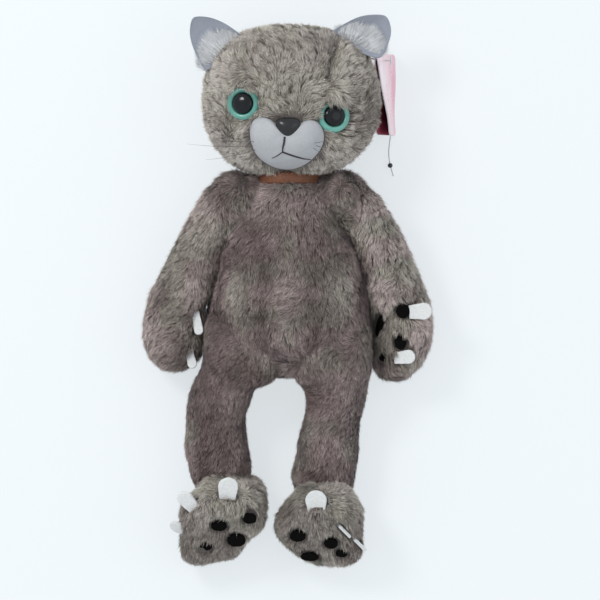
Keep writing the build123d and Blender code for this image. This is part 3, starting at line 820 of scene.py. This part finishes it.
SEAMS = [((51, 23), (59, -18)), ((-47, 30), (-55, -12))]


def body_shade(points):
    shade = patches(points, 5.2, 3.1, 22, 41, 1.8, 9)
    # Painted shade: darker in the grooves between the torso and the arms.
    shade -= 1.7 * smooth_step(np.abs(points[:, 0]), 0.034, 0.052)
    # Painted shade along the fold at the right leg's top; the second line darkens a band across the chest.
    for start, end, width in (((-58, -50), (-14, -62), 10), ((-20, 56), (20, 56), 20)):
        shade -= 1.2 * near_line(points, start, end, width)
    for start, end in SEAMS:
        shade += 4.5 * near_line(points, start, end, 1.6)
    return shade


def arm_shade(points):
    outward = smooth_step(np.abs(points[:, 0]), 0.084, 0.104)
    # Painted shade: inner darkens the arm's side next to the torso, in the groove between them.
    inner = smooth_step(-np.abs(points[:, 0]), -0.062, -0.045)
    shade = patches(points, 5.0, 2.3, 24, 45, 1.5)
    shade += 1.5 * smooth_step(points[:, 1], 0.0, 0.06)
    for start, end in SEAMS:
        shade += 4.5 * near_line(points, start, end, 1.8)
    return shade + 1.2 * outward - 2.0 * inner + 0.7 * (points[:, 0] > 0)


def leg_shade(points):
    lower = smooth_step(-points[:, 1], 0.08, 0.13)
    shade = patches(points, 4.2, 1.8, 20, 47, 1.4)
    shade += 0.5 * (points[:, 0] > 0) - 0.5 * lower
    edge = np.where(points[:, 0] < -0.02, -0.064, 0.014)
    shade += 1.1 * smooth_step(edge - points[:, 0], 0.0, 0.012)
    # Painted shade along the fold where the right leg meets the torso.
    return shade - 1.0 * near_line(points, (-60, -56), (-16, -66), 9)


def foot_shade(points):
    return patches(points, 5.4, 1.5, 16, 51) + 1.0 * smooth_step(points[:, 1], -0.17, -0.15)


# ---------------------------------------------------------------- thread

THREAD_ROUTE = [
    (76.4, 115.8, 7.2),
    (75.4, 109.0, 2.4),
    (75.0, 102.0, 1.0),
    (76.2, 94.0, 1.9),
    (78.6, 86.0, 0.6),
]
THREAD_LENGTH, THREAD_DIAMETER = 31.9 * MM, 0.8 * MM


def make_thread():
    curve = bpy.data.curves.new("tag_cord", "CURVE")
    curve.dimensions = "3D"
    spline = curve.splines.new("NURBS")
    spline.points.add(len(THREAD_ROUTE) - 1)
    for point, spot in zip(spline.points, THREAD_ROUTE):
        point.co = (*[c * MM for c in spot], 1)
    spline.order_u = 3
    spline.use_endpoint_u = True
    curve.bevel_depth = THREAD_DIAMETER / 2
    curve.bevel_resolution = 3
    curve.resolution_u = 16
    cord = new_object("tag_cord", curve)
    curve.materials.append(thread_material("tag_thread", (196, 190, 190), (228, 224, 224)))
    place(cord, "hang_tag", "tag_thread", "tag_thread")


def thread_material(name, dark, light):
    """Twisted thread: fine slanted strands."""
    n = Nodes(name)
    twist = n.add("ShaderNodeTexWave", Scale=900.0, Distortion=1.5)
    twist.bands_direction = "DIAGONAL"
    n.link(n.position(), twist.inputs["Vector"])
    n.colour(n.ramp(twist.outputs["Fac"], [(0.2, dark), (0.8, light)]))
    n.bump(twist.outputs["Fac"], 0.5, 0.0002)
    n.rough_from(n.noise(300.0), 0.6, 0.8)
    return n.finish()


def gloss_material(name, stops, scale, rough, coat=0.0, gloss=0.5):
    """Moulded plastic with faint cloudiness and uneven polish."""
    n = Nodes(name)
    n.colour(n.ramp(n.noise(scale, 2.0), stops))
    n.rough_from(n.noise(scale * 3), rough * 0.75, rough * 1.3)
    n.bump(n.noise(scale * 5), 0.05, 0.0003)
    return n.finish(Coat_Weight=coat, Coat_Roughness=0.08, Specular_IOR_Level=gloss)


# ---------------------------------------------------------------- head

def lathe(name, profile, centre, side, material, steps=72):
    """A round piece from (radius, height) pairs about an eye's axis."""
    tilt = math.radians(EYE_TILT)
    out = Vector((side * math.sin(tilt), 0, math.cos(tilt)))
    across = Vector((0, 1, 0))
    third = out.cross(across)
    rings = []
    for radius, height in profile:
        turns = [2 * math.pi * k / steps for k in range(steps)]
        rings.append([Vector(centre) + out * height * MM
                      + (across * math.cos(t) + third * math.sin(t)) * radius * MM for t in turns])
    return ring_solid(name, rings, [material])


def rounded_profile(profile, rounds=3):
    """A (radius, height) profile with its corners cut round."""
    return [(p.x, p.y) for p in chaikin([(*p, 0) for p in profile], rounds, closed=False)]


IRIS_PROFILE = [(11.9, -2.2), (12.4, -0.6), (12.5, 1.2), (11.8, 2.8), (10.2, 3.6), (8.4, 3.2), (7.9, 1.4),
                (7.4, 0.6)]
PUPIL_PROFILE = [(7.85, 0.8), (7.8, 2.5), (7.4, 3.6), (6.0, 4.7), (3.4, 5.5), (0.9, 5.7), (0.02, 5.7)]


def iris_material():
    """Satin coloured plastic with painted light on its lower rim and painted shade towards the brow."""
    n = Nodes("iris")
    split = n.add("ShaderNodeSeparateXYZ")
    n.link(n.position(), split.inputs["Vector"])
    height = n.add("ShaderNodeMapRange")
    height.inputs["From Min"].default_value = 0.118
    height.inputs["From Max"].default_value = 0.152
    n.link(split.outputs["Y"], height.inputs["Value"])
    # Painted light and shade: paler at the lower rim, darker towards the brow, where the pile shades the
    # ring.
    painted_rim_light_to_brow_shade = [(0.0, (108, 174, 160)), (0.5, (72, 134, 121)), (1.0, (36, 76, 70))]
    sides = n.ramp(height.outputs["Result"], painted_rim_light_to_brow_shade)
    cloud = n.ramp(n.noise(120.0, 4.0), [(0.3, (60, 112, 104)), (0.7, (106, 166, 155))])
    n.colour(n.mix(0.4, sides, cloud))
    n.rough_from(n.noise(260.0), 0.22, 0.42)
    n.bump(n.noise(500.0), 0.08, 0.0003)
    return n.finish(Coat_Weight=0.25, Coat_Roughness=0.2, Subsurface_Weight=0.08)


def make_eyes():
    teal = iris_material()
    black = gloss_material("pupil", [(0.35, (10, 12, 15)), (0.7, (20, 23, 27))], 150.0, 0.14, gloss=0.3)
    made = {}
    for name, side in (("right", -1), ("left", 1)):
        ring = lathe(f"{name}_iris", rounded_profile(IRIS_PROFILE), EYES[name], side, teal)
        dome = lathe(f"{name}_pupil", rounded_profile(PUPIL_PROFILE), EYES[name], side, black)
        place(ring, "head", "iris", f"{name}_eye_iris")
        place(dome, "head", "pupil", f"{name}_eye_pupil")
        made[name] = (ring, dome)
    return made


MUZZLE_OUTLINE = [(-9.5, 123.5), (-16, 128.5), (-24, 129.5), (-29, 124), (-29.6, 114), (-25.5, 101),
                  (-15.5, 93), (-4.5, 89.6), (6.5, 90.6), (17, 96.5), (25.6, 107), (26.6, 117), (22.5, 125),
                  (15.5, 127.5),
                  (8.5, 124.5), (-1, 120)]
MUZZLE_MIDDLE = (-1.7, 109.5)
MUZZLE_RISE = 8.6


def make_muzzle(head):
    """A short-pile pad that covers its outline on the head, fuller each side of the mouth."""
    tree = search_tree(head)
    outline = chaikin([(*p, 0) for p in MUZZLE_OUTLINE], 3)
    middle = Vector((*MUZZLE_MIDDLE, 0))
    rings = []
    for size in (1.0, 0.995, 0.985, 0.965, 0.93, 0.88, 0.81, 0.72, 0.61, 0.48, 0.33, 0.17, 0.02):
        ring = []
        for p in outline:
            x, y = (middle + (p - middle) * size).xy
            rise = MUZZLE_RISE * math.sqrt(max(0.0, 1 - size ** 3)) - (2.5 if size == 1.0 else 0.0)
            for side, lobe in ((-15.5, 112.5), (12.5, 111.0)):
                rise += 2.2 * math.exp(-((x - side) ** 2 + (y - lobe) ** 2) / 90) * (1 - size ** 4)
            rise -= 1.6 * math.exp(-((x + 4.2) / 2.6) ** 2) * smooth_step(117 - y, 0, 5) * (1 - size ** 4)
            ring.append(top_point(tree, x, y, rise))
        rings.append(ring)
    form = ring_solid("muzzle_pad", rings)
    soften = form.modifiers.new("soften", "SMOOTH")
    soften.iterations = 4
    apply_modifiers(form)
    n = Nodes("muzzle_velour")
    fine = n.noise(1600.0, 2.0)
    broad = n.noise(60.0, 3.0)
    n.colour(n.mix(0.3, n.ramp(broad, [(0.3, (166, 166, 168)), (0.7, (184, 184, 187))]),
                   n.ramp(fine, [(0.3, (146, 148, 153)), (0.7, (192, 195, 200))])))
    n.bump(fine, 0.35, 0.0004)
    n.rough_from(broad, 0.75, 0.9)
    velour = n.finish(Sheen_Weight=0.25, Sheen_Roughness=0.4, Specular_IOR_Level=0.2)
    return finished(form, velour, "head", "muzzle_velour", "muzzle")


def top_point(tree, x, y, lift=0.0):
    """The highest place on a mesh over x, y in mm, or the nearest one beside it, raised by lift."""
    spot, _, _, _ = tree.ray_cast(Vector((x * MM, y * MM, 0.3)), Vector((0, 0, -1)))
    if spot is None:
        spot, _, _, _ = tree.find_nearest(Vector((x * MM, y * MM, 0.088)))
    return spot + Vector((0, 0, lift * MM))


NOSE_OUTLINE = [(-8.4, 5.4), (-4.2, 6.8), (0.2, 6.9), (4.6, 6.9), (8.8, 5.2), (9.6, 1.4), (7.2, -3.6),
                (2.4, -7.2), (-1.8, -7.2), (-7.0, -3.8), (-9.4, 1.2)]


def make_nose():
    black = gloss_material("nose_plastic", [(0.35, (16, 16, 18)), (0.7, (28, 27, 30))], 140.0, 0.26)
    outline = chaikin([(x, y, 0) for x, y in NOSE_OUTLINE], 3)
    rings = []
    heights = [(0.9, -8.0), (1.0, -2.0), (1.02, 0.6)]
    heights += [(math.cos(a), 0.6 + 4.6 * math.sin(a)) for a in np.linspace(0.15, 1.5, 12)]
    for size, height in heights:
        rings.append([Vector(NOSE) + Vector((p.x * size, p.y * size, height)) * MM for p in outline])
    return place(ring_solid("nose_button", rings, [black]), "head", "nose_plastic", "nose")


def make_mouth(muzzle):
    """Embroidered lines that follow the muzzle."""
    tree = search_tree(muzzle)
    black = thread_material("black_thread", (26, 22, 25), (62, 56, 60))
    lines = [
        ([(-3.2, 114.0), (-3.6, 110.0), (-4.6, 106.0), (-4.9, 102.6)], 0.75),
        ([(-4.9, 102.8), (-7.2, 101.0), (-10.0, 99.3), (-13.2, 98.0)], 0.45),
        ([(-4.9, 102.8), (0.0, 101.0), (5.5, 99.2), (11.0, 97.8), (17.0, 97.2)], 0.75),
    ]
    pieces = []
    for corners, radius in lines:
        path = []
        for (x0, y0), (x1, y1) in zip(corners, corners[1:]):
            for t in np.linspace(0, 1, 7, endpoint=False):
                path.append(top_point(tree, x0 + (x1 - x0) * t, y0 + (y1 - y0) * t, 0.15))
        rings = tube(path, radius * MM, taper=lambda t: 1 - 0.55 * t ** 3)
        pieces.append(ring_solid("line", rings, [black]))
    return place(join("mouth_thread", pieces), "head", "black_thread", "mouth_stitching")


# Whiskers: (root x, root y, end x, end y), from above, in mm.
WHISKERS = {
    "left": [(19, 109.5, 30, 113.5), (20, 107.5, 33, 107.0), (18.5, 105.5, 29, 101.5)],
    "right": [(-26, 110.5, -60, 113.5), (-27, 107.5, -76, 108.8), (-25, 104.5, -62, 97.0)],
}


def make_whiskers(muzzle):
    tree = search_tree(muzzle)
    fibre = gloss_material("whisker", [(0.3, (70, 68, 70)), (0.7, (112, 110, 112))], 400.0, 0.4)
    for side, lines in WHISKERS.items():
        pieces = []
        for x0, y0, x1, y1 in lines:
            start = top_point(tree, x0, y0, -0.5)
            end = Vector((x1 * MM, y1 * MM, start.z + 3 * MM))
            bow = Vector((0, -1.2, 4.0)) * MM
            path = [start.lerp(end, t) + bow * math.sin(math.pi * t) for t in np.linspace(0, 1, 14)]
            rings = tube(path, 0.24 * MM, sides=6, taper=lambda t: 1 - 0.8 * t)
            pieces.append(ring_solid("hair", rings, [fibre]))
        place(join(f"{side}_whisker_hairs", pieces), "head", "whisker", f"{side}_whiskers")


# Ears: inner base, tip, outer base, from the front, in mm.
EARS = {
    "right": ((-34, 190), (-75.5, 208), (-66, 168)),
    "left": ((34, 195), (75, 208), (71.5, 177)),
}
EAR_HEIGHT, EAR_CUP, EAR_THICKNESS = 64.0, 4.5, 2.6
EAR_HAIRS = 9500


def ear_outline(inner, tip, outer):
    """The ear's edge: two full sides, a round tip and a root that goes into the head."""
    a, t, b = (Vector((*p, 0)) for p in (inner, tip, outer))
    middle = (a + b) / 2
    up = (t - middle).normalized()
    centre = (a + b + t) / 3
    bow_a = (a + t) / 2 + ((a + t) / 2 - centre).normalized() * 4.6
    bow_b = (t + b) / 2 + ((t + b) / 2 - centre).normalized() * 4.0
    tip_a, tip_b = t + (a - t) * 0.13, t + (b - t) * 0.16
    return chaikin([a - up * 8, a, bow_a, tip_a, tip_b, bow_b, b, b - up * 8], 4), centre


def make_ears():
    grey = velour_material("ear_velour", [(0.25, (132, 136, 146)), (0.75, (158, 162, 173))])
    white = [plain_fibre(f"white_pile_{i}", (v, v, v + 2)) for i, v in enumerate((168, 196, 218, 234, 246))]
    for name, (inner, tip, outer) in EARS.items():
        outline, centre = ear_outline(inner, tip, outer)
        sizes = np.linspace(0.04, 0.96, 12)
        rings = []
        for size in sizes:
            cup = EAR_CUP * (1 - size ** 2)
            rings.append([centre + (p - centre) * size + Vector((0, 0, EAR_HEIGHT - cup)) for p in outline])
        for turn in np.linspace(0.3, math.pi - 0.3, 5):
            size = 0.97 + 0.03 * math.sin(turn)
            drop = EAR_THICKNESS * (1 - math.cos(turn)) / 2
            rings.append([centre + (p - centre) * size + Vector((0, 0, EAR_HEIGHT - drop)) for p in outline])
        for size in sizes[::-1]:
            cup = EAR_CUP * (1 - size ** 2) * 0.9 + EAR_THICKNESS
            rings.append([centre + (p - centre) * size + Vector((0, 0, EAR_HEIGHT - cup)) for p in outline])
        ear = ring_solid(f"{name}_ear", [[p * MM for p in ring] for ring in rings], [grey])
        lumpy(ear, 0.35 * MM, 9 * MM, 13)
        place(ear, "head", "ear_velour", f"{name}_ear_front", f"{name}_ear_back")
        make_ear_tuft(name, inner, tip, outer, white)


def make_ear_tuft(name, inner, tip, outer, palette):
    """Long white pile that fans from the ear's root over its inside."""
    rng = np.random.default_rng(21 if name == "left" else 22)
    count = EAR_HAIRS
    a, t, b = (np.array((*p, 0.0)) for p in (inner, tip, outer))
    across = rng.beta(1.1, 1.1, count)
    rise = rng.beta(1.1, 3.2, count) * 0.36
    base = a + (b - a) * (0.15 + 0.8 * across)[:, None] - unit(np.array([t - (a + b) / 2])) * 7.0
    roots = base + (t - base) * rise[:, None]
    roots[:, 2] = EAR_HEIGHT - EAR_CUP + 1.0
    fan = (t - (a + b) / 2)
    direction = unit(np.tile(fan, (count, 1)))
    direction = direction + unit(np.tile(b - a, (count, 1))) * (across - 0.5)[:, None] * 1.3
    clump = noise_vector(roots, 4.0, 5)
    direction = unit(direction + clump * 0.35 + rng.normal(0, 0.12, (count, 3)))
    direction[:, 2] = 0.16 + 0.12 * rng.random(count)
    lengths = (14.0 + 8.0 * rng.random(count)) * (1.0 - 0.85 * rise) * (1.0 - 0.9 * np.abs(across - 0.5))
    lengths = np.maximum(lengths, 4.0) * MM
    hairs = scattered_hairs(f"{name}_ear_pile", roots * MM, direction, lengths, 0.42, palette, 31)
    place(hairs, "head", "white_pile", f"{name}_ear_tuft")


# ---------------------------------------------------------------- neck, paws and tag

COLLAR_INNER, COLLAR_OUTER, COLLAR_WIDTH = 21.2, 23.6, 8.4


def make_collar():
    """A soft strap with a row of stitches near each edge."""
    n = Nodes("collar")
    grain = n.noise(700.0, 5.0, 0.7)
    broad = n.noise(45.0, 3.0)
    n.colour(n.mix(0.4, n.ramp(broad, [(0.3, (92, 58, 44)), (0.7, (146, 90, 62))]),
                   n.ramp(grain, [(0.3, (74, 50, 40)), (0.7, (138, 94, 70))])))
    n.bump(grain, 0.4, 0.0003)
    n.rough_from(grain, 0.45, 0.7)
    rust = n.finish(Specular_IOR_Level=0.3)
    half = COLLAR_WIDTH / 2
    middle = (COLLAR_INNER + COLLAR_OUTER) / 2
    section = chaikin([(-half, COLLAR_INNER, 0), (half, COLLAR_INNER, 0), (half + 0.2, middle, 0),
                       (half, COLLAR_OUTER, 0), (0, COLLAR_OUTER + 0.5, 0), (-half, COLLAR_OUTER, 0),
                       (-half - 0.2, middle, 0)], 2)
    steps = 96
    rings = []
    for k in range(steps):
        turn = 2 * math.pi * k / steps
        out = Vector((math.cos(turn), 0, math.sin(turn)))
        rings.append([Vector(NECK) + (Vector((0, p.x, 0)) + out * p.y) * MM for p in section])
    strap = ring_solid("collar_band", rings, [rust], closed=True)
    sewing = thread_material("collar_thread", (120, 78, 60), (168, 120, 96))
    pieces = [strap]
    for edge in (-half + 1.1, half - 1.1):
        for k in range(44):
            start, end = (2 * math.pi * (k + part) / 44 for part in (0.15, 0.75))
            path = []
            for t in np.linspace(start, end, 5):
                lift = COLLAR_OUTER + 0.28 + 0.18 * math.sin(math.pi * (t - start) / (end - start))
                path.append(Vector(NECK) + Vector((lift * math.cos(t), edge, lift * math.sin(t))) * MM)
            pieces.append(ring_solid("stitch", tube(path, 0.28 * MM, sides=6), [sewing]))
    place(join("collar_band_sewn", pieces), "neck", "collar", "collar_strap")


CLAW_SHIFT = {("arm", "left"): (0, 0, 1.6), ("arm", "right"): (0, 0, 1.6),
              ("foot", "left"): (-1.5, -2.2, 0.8), ("foot", "right"): (1.2, 0, 0)}


def make_paw_felt(side):
    """Felt pads and claws of one side, with soft edges."""
    black, white = PAW_FELT
    made = {}
    for limb, pads, claws in (("arm", "palm_pads", "hand_claws"), ("foot", "sole_pads", "foot_claws")):
        body = f"{side}_{limb}"
        pad = rounded_node(f"{side}_{pads}_felt", f"{side}_{pads}", 0.5, 3, rough=0.25)
        claw = rounded_node(f"{side}_{claws}_felt", f"{side}_{claws}", 0.5, 4, rough=0.18)
        finished(pad, black, body, "black_felt", f"{side}_{pads}")
        finished(claw, white, body, "white_felt", f"{side}_{claws}")
        set_coordinates(claw, coordinates(claw) + np.array(CLAW_SHIFT[limb, side]) * MM)
        made[limb] = [(pad, 0.9, 2.4), (claw, 0.6, 1.5)]
    return made


CARD_WIDTH, CARD_LENGTH, CARD_CORNER, CARD_THICKNESS = 44.0, 61.0, 4.0, 0.8
CARD_FOOT, CARD_LEAN = (80.2, 177.5, 0.9), 19.5


def card_material(name, low, high, rough):
    """Coated card: faint print mottling under a soft gloss."""
    n = Nodes(name)
    streak = n.noise(34.0, 4.0, stretch=(1.0, 0.4, 1.6))
    n.colour(n.ramp(streak, [(0.35, low), (0.62, high)]))
    n.rough_from(n.noise(180.0), rough * 0.7, rough * 1.3)
    n.bump(n.noise(60.0, 2.0), 0.15, 0.0006)
    return n.finish(Coat_Weight=0.6, Coat_Roughness=0.12)


def make_card(name, node, distance, flare, outside, inside, edge):
    """One leaf of the card, curling away from the head towards its free end."""
    lean = math.radians(CARD_LEAN)
    up = Vector((-math.sin(lean), 0, math.cos(lean)))
    along = Vector((0, -1, 0))
    facing = along.cross(up)
    long_steps, wide_steps = 30, 20
    rows = []
    for i in range(long_steps + 1):
        x = CARD_LENGTH * i / long_steps
        short = max(0.0, CARD_CORNER - min(x, CARD_LENGTH - x))
        trim = CARD_CORNER - math.sqrt(max(CARD_CORNER ** 2 - short ** 2, 0.0))
        row = []
        for j in range(wide_steps + 1):
            y = trim + (CARD_WIDTH - 2 * trim) * j / wide_steps
            bend = flare * (x / CARD_LENGTH) ** 0.9 * (y / CARD_WIDTH) ** 1.3
            ripple = 0.9 * math.sin(x / 9.0 + y / 17.0) * (x / CARD_LENGTH)
            spot = Vector(CARD_FOOT) + along * x + up * y + facing * distance
            spot += Vector((bend + ripple, 0, -0.12 * abs(bend)))
            row.append(spot * MM)
        rows.append(row)
    wide = wide_steps + 1
    vertices = [p for row in rows for p in row]
    thick = facing * CARD_THICKNESS * MM
    vertices += [p + thick for p in vertices]
    half = len(vertices) // 2
    faces, slots = [], []
    for i in range(long_steps):
        for j in range(wide_steps):
            a = i * wide + j
            faces.append((a, a + 1, a + wide + 1, a + wide))
            faces.append((half + a, half + a + wide, half + a + wide + 1, half + a + 1))
            slots += [0, 1]
    rim = [j for j in range(wide)] + [i * wide + wide_steps for i in range(1, long_steps + 1)]
    rim += [long_steps * wide + j for j in range(wide_steps - 1, -1, -1)]
    rim += [i * wide for i in range(long_steps - 1, 0, -1)]
    for a, b in zip(rim, rim[1:] + rim[:1]):
        faces.append((a, half + a, half + b, b))
        slots.append(2)
    leaf = mesh_object(name, vertices, faces, smooth=False)
    for material in (outside, inside, edge):
        leaf.data.materials.append(material)
    leaf.data.polygons.foreach_set("material_index", slots)
    return place(leaf, "hang_tag", "tag_card_outside" if node == "tag_cover" else "tag_card_inside", node)


def make_tag():
    pink = card_material("tag_pink", (226, 150, 168), (244, 226, 231), 0.3)
    red = card_material("tag_red", (128, 44, 62), (166, 72, 92), 0.35)
    paper = felt_material("tag_edge", [(0.3, (226, 222, 222)), (0.7, (245, 243, 243))])
    make_card("tag_cover_leaf", "tag_cover", 0.0, 10.0, pink, red, paper)
    make_card("tag_inner_leaf", "tag_leaf", CARD_THICKNESS, 0.5, red, red, paper)
    plastic = gloss_material("fastener", [(0.3, (206, 208, 212)), (0.7, (226, 228, 231))], 200.0, 0.35)
    repaint(NODES["tag_fastener"], plastic)
    black = gloss_material("tag_bead", [(0.3, (24, 24, 26)), (0.7, (48, 47, 50))], 300.0, 0.25, coat=0.4)
    repaint(NODES["tag_bead"], black)


def finish_inner_nodes():
    """Materials for the fillings and washers that stay as CAD pieces."""
    n = Nodes("fibre_filling")
    tangle = n.noise(240.0, 8.0, 0.8)
    n.colour(n.ramp(tangle, [(0.3, (206, 205, 200)), (0.7, (240, 240, 237))]))
    n.bump(tangle, 0.9, 0.002)
    n.rough_from(tangle, 0.85, 1.0)
    filling = n.finish(Sheen_Weight=0.3)
    washer = gloss_material("washer", [(0.3, (206, 206, 200)), (0.7, (228, 228, 222))], 160.0, 0.45)
    for name, obj in NODES.items():
        material = filling if name.endswith("_filling") else washer if name.endswith("_washer") else None
        if material:
            repaint(obj, material)


# ---------------------------------------------------------------- the whole toy

# Furrows: start and end from above, depth and width, in mm.
GROIN_FOLD = ((10, -52), (31, -37), 3.0, 3.5)
BROW_FOLD = ((36, 188), (28, 150), 4.5, 3.2)

# Fuller places of the torso: (middle, radii), in mm.
TORSO_LUMPS = [((0, -24, 37), (55, 34, 36)), ((-3, -40, 33), (34, 22, 28)), ((-26, -38, 32), (31, 21, 31)),
               ((27, -36, 32), (31, 21, 31)), ((0, 74, 41), (24, 7.5, 21)), ((-29, 75, 36), (14, 10, 20)),
               ((29, 75, 36), (14, 10, 20)), ((-50, -2, 20), (9, 44, 16)), ((50, -2, 20), (9, 44, 16))]

# How each limb's soft shape leaves a plain one: (place from above, shift, reach), in mm.
LEG_SHAPING = {
    "right": [((-15, -79), (-7, 5), 11), ((-24, -92), (-3, 0), 12)],
    "left": [((3, -79), (3, 4), 11), ((10, -94), (2, 0), 12)],
}
FOOT_SHAPING = {
    "right": [((-20, -199), (-9, 7), 16), ((-78, -144), (9, -4), 13), ((-22, -146), (3, 2), 12),
              ((-66, -203), (-3, -5), 14), ((-74, -198), (-5, -2), 12)],
    "left": [((-6, -150), (9, 0), 13), ((54, -148), (-7, 0), 13), ((-8, -178), (-2, 0), 12),
             ((-6, -200), (4, 3), 12), ((40, -206), (3, -2), 12), ((8, -208), (1, 5), 12),
              ((54, -200), (4, -3), 10)],
}
SOLE_EDGE = {"right": [], "left": [((-8, -171), (30, -167), 2.6, 3.0), ((28, -168), (44, -178), 2.6, 3.0)]}

LIFT_OFF_FLOOR = 0.4 * MM
PAD_DENT_REACH = 3.5
SHORT_COAT = dict(pull=0.4, depth=1.5, swirl=0.8, second_hue=0.6, width=0.34)


def stuffed(name, body, nodes, fill, stands_for=None, uneven=None, shaping=(), folds=(), felt=(), press=(),
            **shape):
    """A padded form: flat where it rests, uneven (amount, size, salt), and pressed in under its felt.

    press is the depth under the pads, then the gap and the most under the claws, in mm."""
    form = soft_form(name, nodes, **shape)
    rest_on_floor(form, LIFT_OFF_FLOOR)
    if uneven:
        amount, size, salt = uneven
        lumpy(form, amount * MM, size * MM, salt)
    for spot, shift, reach in shaping:
        grab(form, spot, shift, reach)
    for fold in folds:
        crease(form, *fold)
    if felt:
        (pads, *_), (claws, *_) = felt
        depth, gap, most = press
        dent(form, [pads], depth, PAD_DENT_REACH)
        tuck_under(form, claws, gap, most)
    finished(form, backing, body, "fur", *(stands_for or nodes))
    return form


make_camera()
make_thread()
make_light()
make_floor()
finish_inner_nodes()

warm = fur_palette("fur_warm", (1.01, 0.985, 0.975), (0.99, 0.98, 0.95))
mauve = fur_palette("fur_mauve", (1.03, 0.955, 0.975), (0.985, 0.96, 0.94))
middling = fur_palette("fur_middling", (1.025, 0.965, 0.97), (0.995, 0.98, 0.95))
backing = backing_material("fur_backing", (70, 63, 60), (104, 95, 91))

torso_form = stuffed("torso", "torso", ["torso_skin", "torso_filling"], 0.75, ["torso_skin"],
                     uneven=(1.6, 26, 3), folds=[GROIN_FOLD], swell=1.6 * MM, lumps=TORSO_LUMPS)
grow_fur("torso_fur", torso_form, DOWN_THE_BODY, mauve, body_shade, 1, "torso", split=3,
         length=6.0, lift=0.34, contrast=1.2, ragged=0.9, clump=4.6, **SHORT_COAT)

PAW_FELT = (felt_material("black_felt", [(0.3, (8, 7, 7)), (0.7, (22, 20, 20))], sheen=0.0, gloss=0.02),
            felt_material("white_felt", [(0.25, (206, 205, 204)), (0.7, (236, 236, 235))]))

neck_form = rounded_node("neck_gather", "neck_core", 1.2, 4)
finished(neck_form, backing, "neck", "fur", "neck_core")
make_collar()

head_form = stuffed("head", "head", ["head_skin", "head_filling"], 0.9, ["head_skin"], uneven=(1.0, 24, 5),
                    folds=[BROW_FOLD], swell=0.6 * MM)
eyes = make_eyes()
muzzle = make_muzzle(head_form)
nose = make_nose()
make_mouth(muzzle)
make_whiskers(muzzle)
make_ears()
face_bare = [(muzzle, 0.6, 0.6), (nose, 1.0, 1.2)]
for ring, dome in eyes.values():
    face_bare += [(ring, 0.0, None), (dome, 0.0, 1.6)]
grow_fur("head_fur", head_form, face_flow, warm, head_shade, 2, "head", bare=face_bare, split=3,
         longer=brow_length, length=7.2, lift=0.38, pull=0.65, clump=5.2, contrast=1.6, depth=1.9, swirl=1.2,
         ragged=0.9, loose=0.1)

for side in ("left", "right"):
    out = 1 if side == "left" else -1
    felt = make_paw_felt(side)
    arm = stuffed(f"{side}_arm_form", f"{side}_arm", [f"{side}_arm_skin", f"{side}_arm_filling"], 0.7,
                  [f"{side}_arm_skin"], uneven=(1.2, 22, 7), felt=felt["arm"], press=(2.6, 0.8, 7.0),
                  swell=2.0 * MM, lumps=[((out * 39, 71, 38), (16, 14, 23))])
    grow_fur(f"{side}_arm_fur", arm, DOWN_THE_BODY, middling, arm_shade, 3, f"{side}_arm", bare=felt["arm"],
             lift=0.45, length=7.0, contrast=1.4, depth=1.8, swirl=0.7, ragged=0.8)
    leg = stuffed(f"{side}_leg_form", f"{side}_leg", [f"{side}_leg_skin", f"{side}_leg_filling"], 0.7,
                  uneven=(1.0, 20, 9), shaping=LEG_SHAPING[side], swell=2.8 * MM, rounds=40)
    grow_fur(f"{side}_leg_fur", leg, DOWN_THE_LEG, mauve, leg_shade, 5, f"{side}_leg",
             length=4.8, lift=0.32, contrast=1.3, clump=3.6, ragged=0.8, **SHORT_COAT)
    foot_nodes = [f"{side}_foot_skin", f"{side}_foot_filling", f"{side}_sole"]
    foot = stuffed(f"{side}_foot_form", f"{side}_foot", foot_nodes, 0.8, uneven=(1.2, 16, 11),
                   shaping=FOOT_SHAPING[side], folds=SOLE_EDGE[side], felt=felt["foot"],
                   press=(1.6, 0.6, 4.0))
    grow_fur(f"{side}_foot_fur", foot, DOWN_THE_FOOT, warm, foot_shade, 7, f"{side}_foot", bare=felt["foot"],
             length=6.2, lift=0.4, contrast=1.3, depth=1.7)

tail = stuffed("tail_form", "tail", ["tail_skin", "tail_filling"], 0.7, ["tail_skin"], voxel=1.6 * MM,
               rounds=6)
grow_fur("tail_fur", tail, DOWN_THE_LEG, mauve, leg_shade, 13, "tail", underside=1.0, length=3.0, lift=0.2,
         pull=0.2)

make_tag()
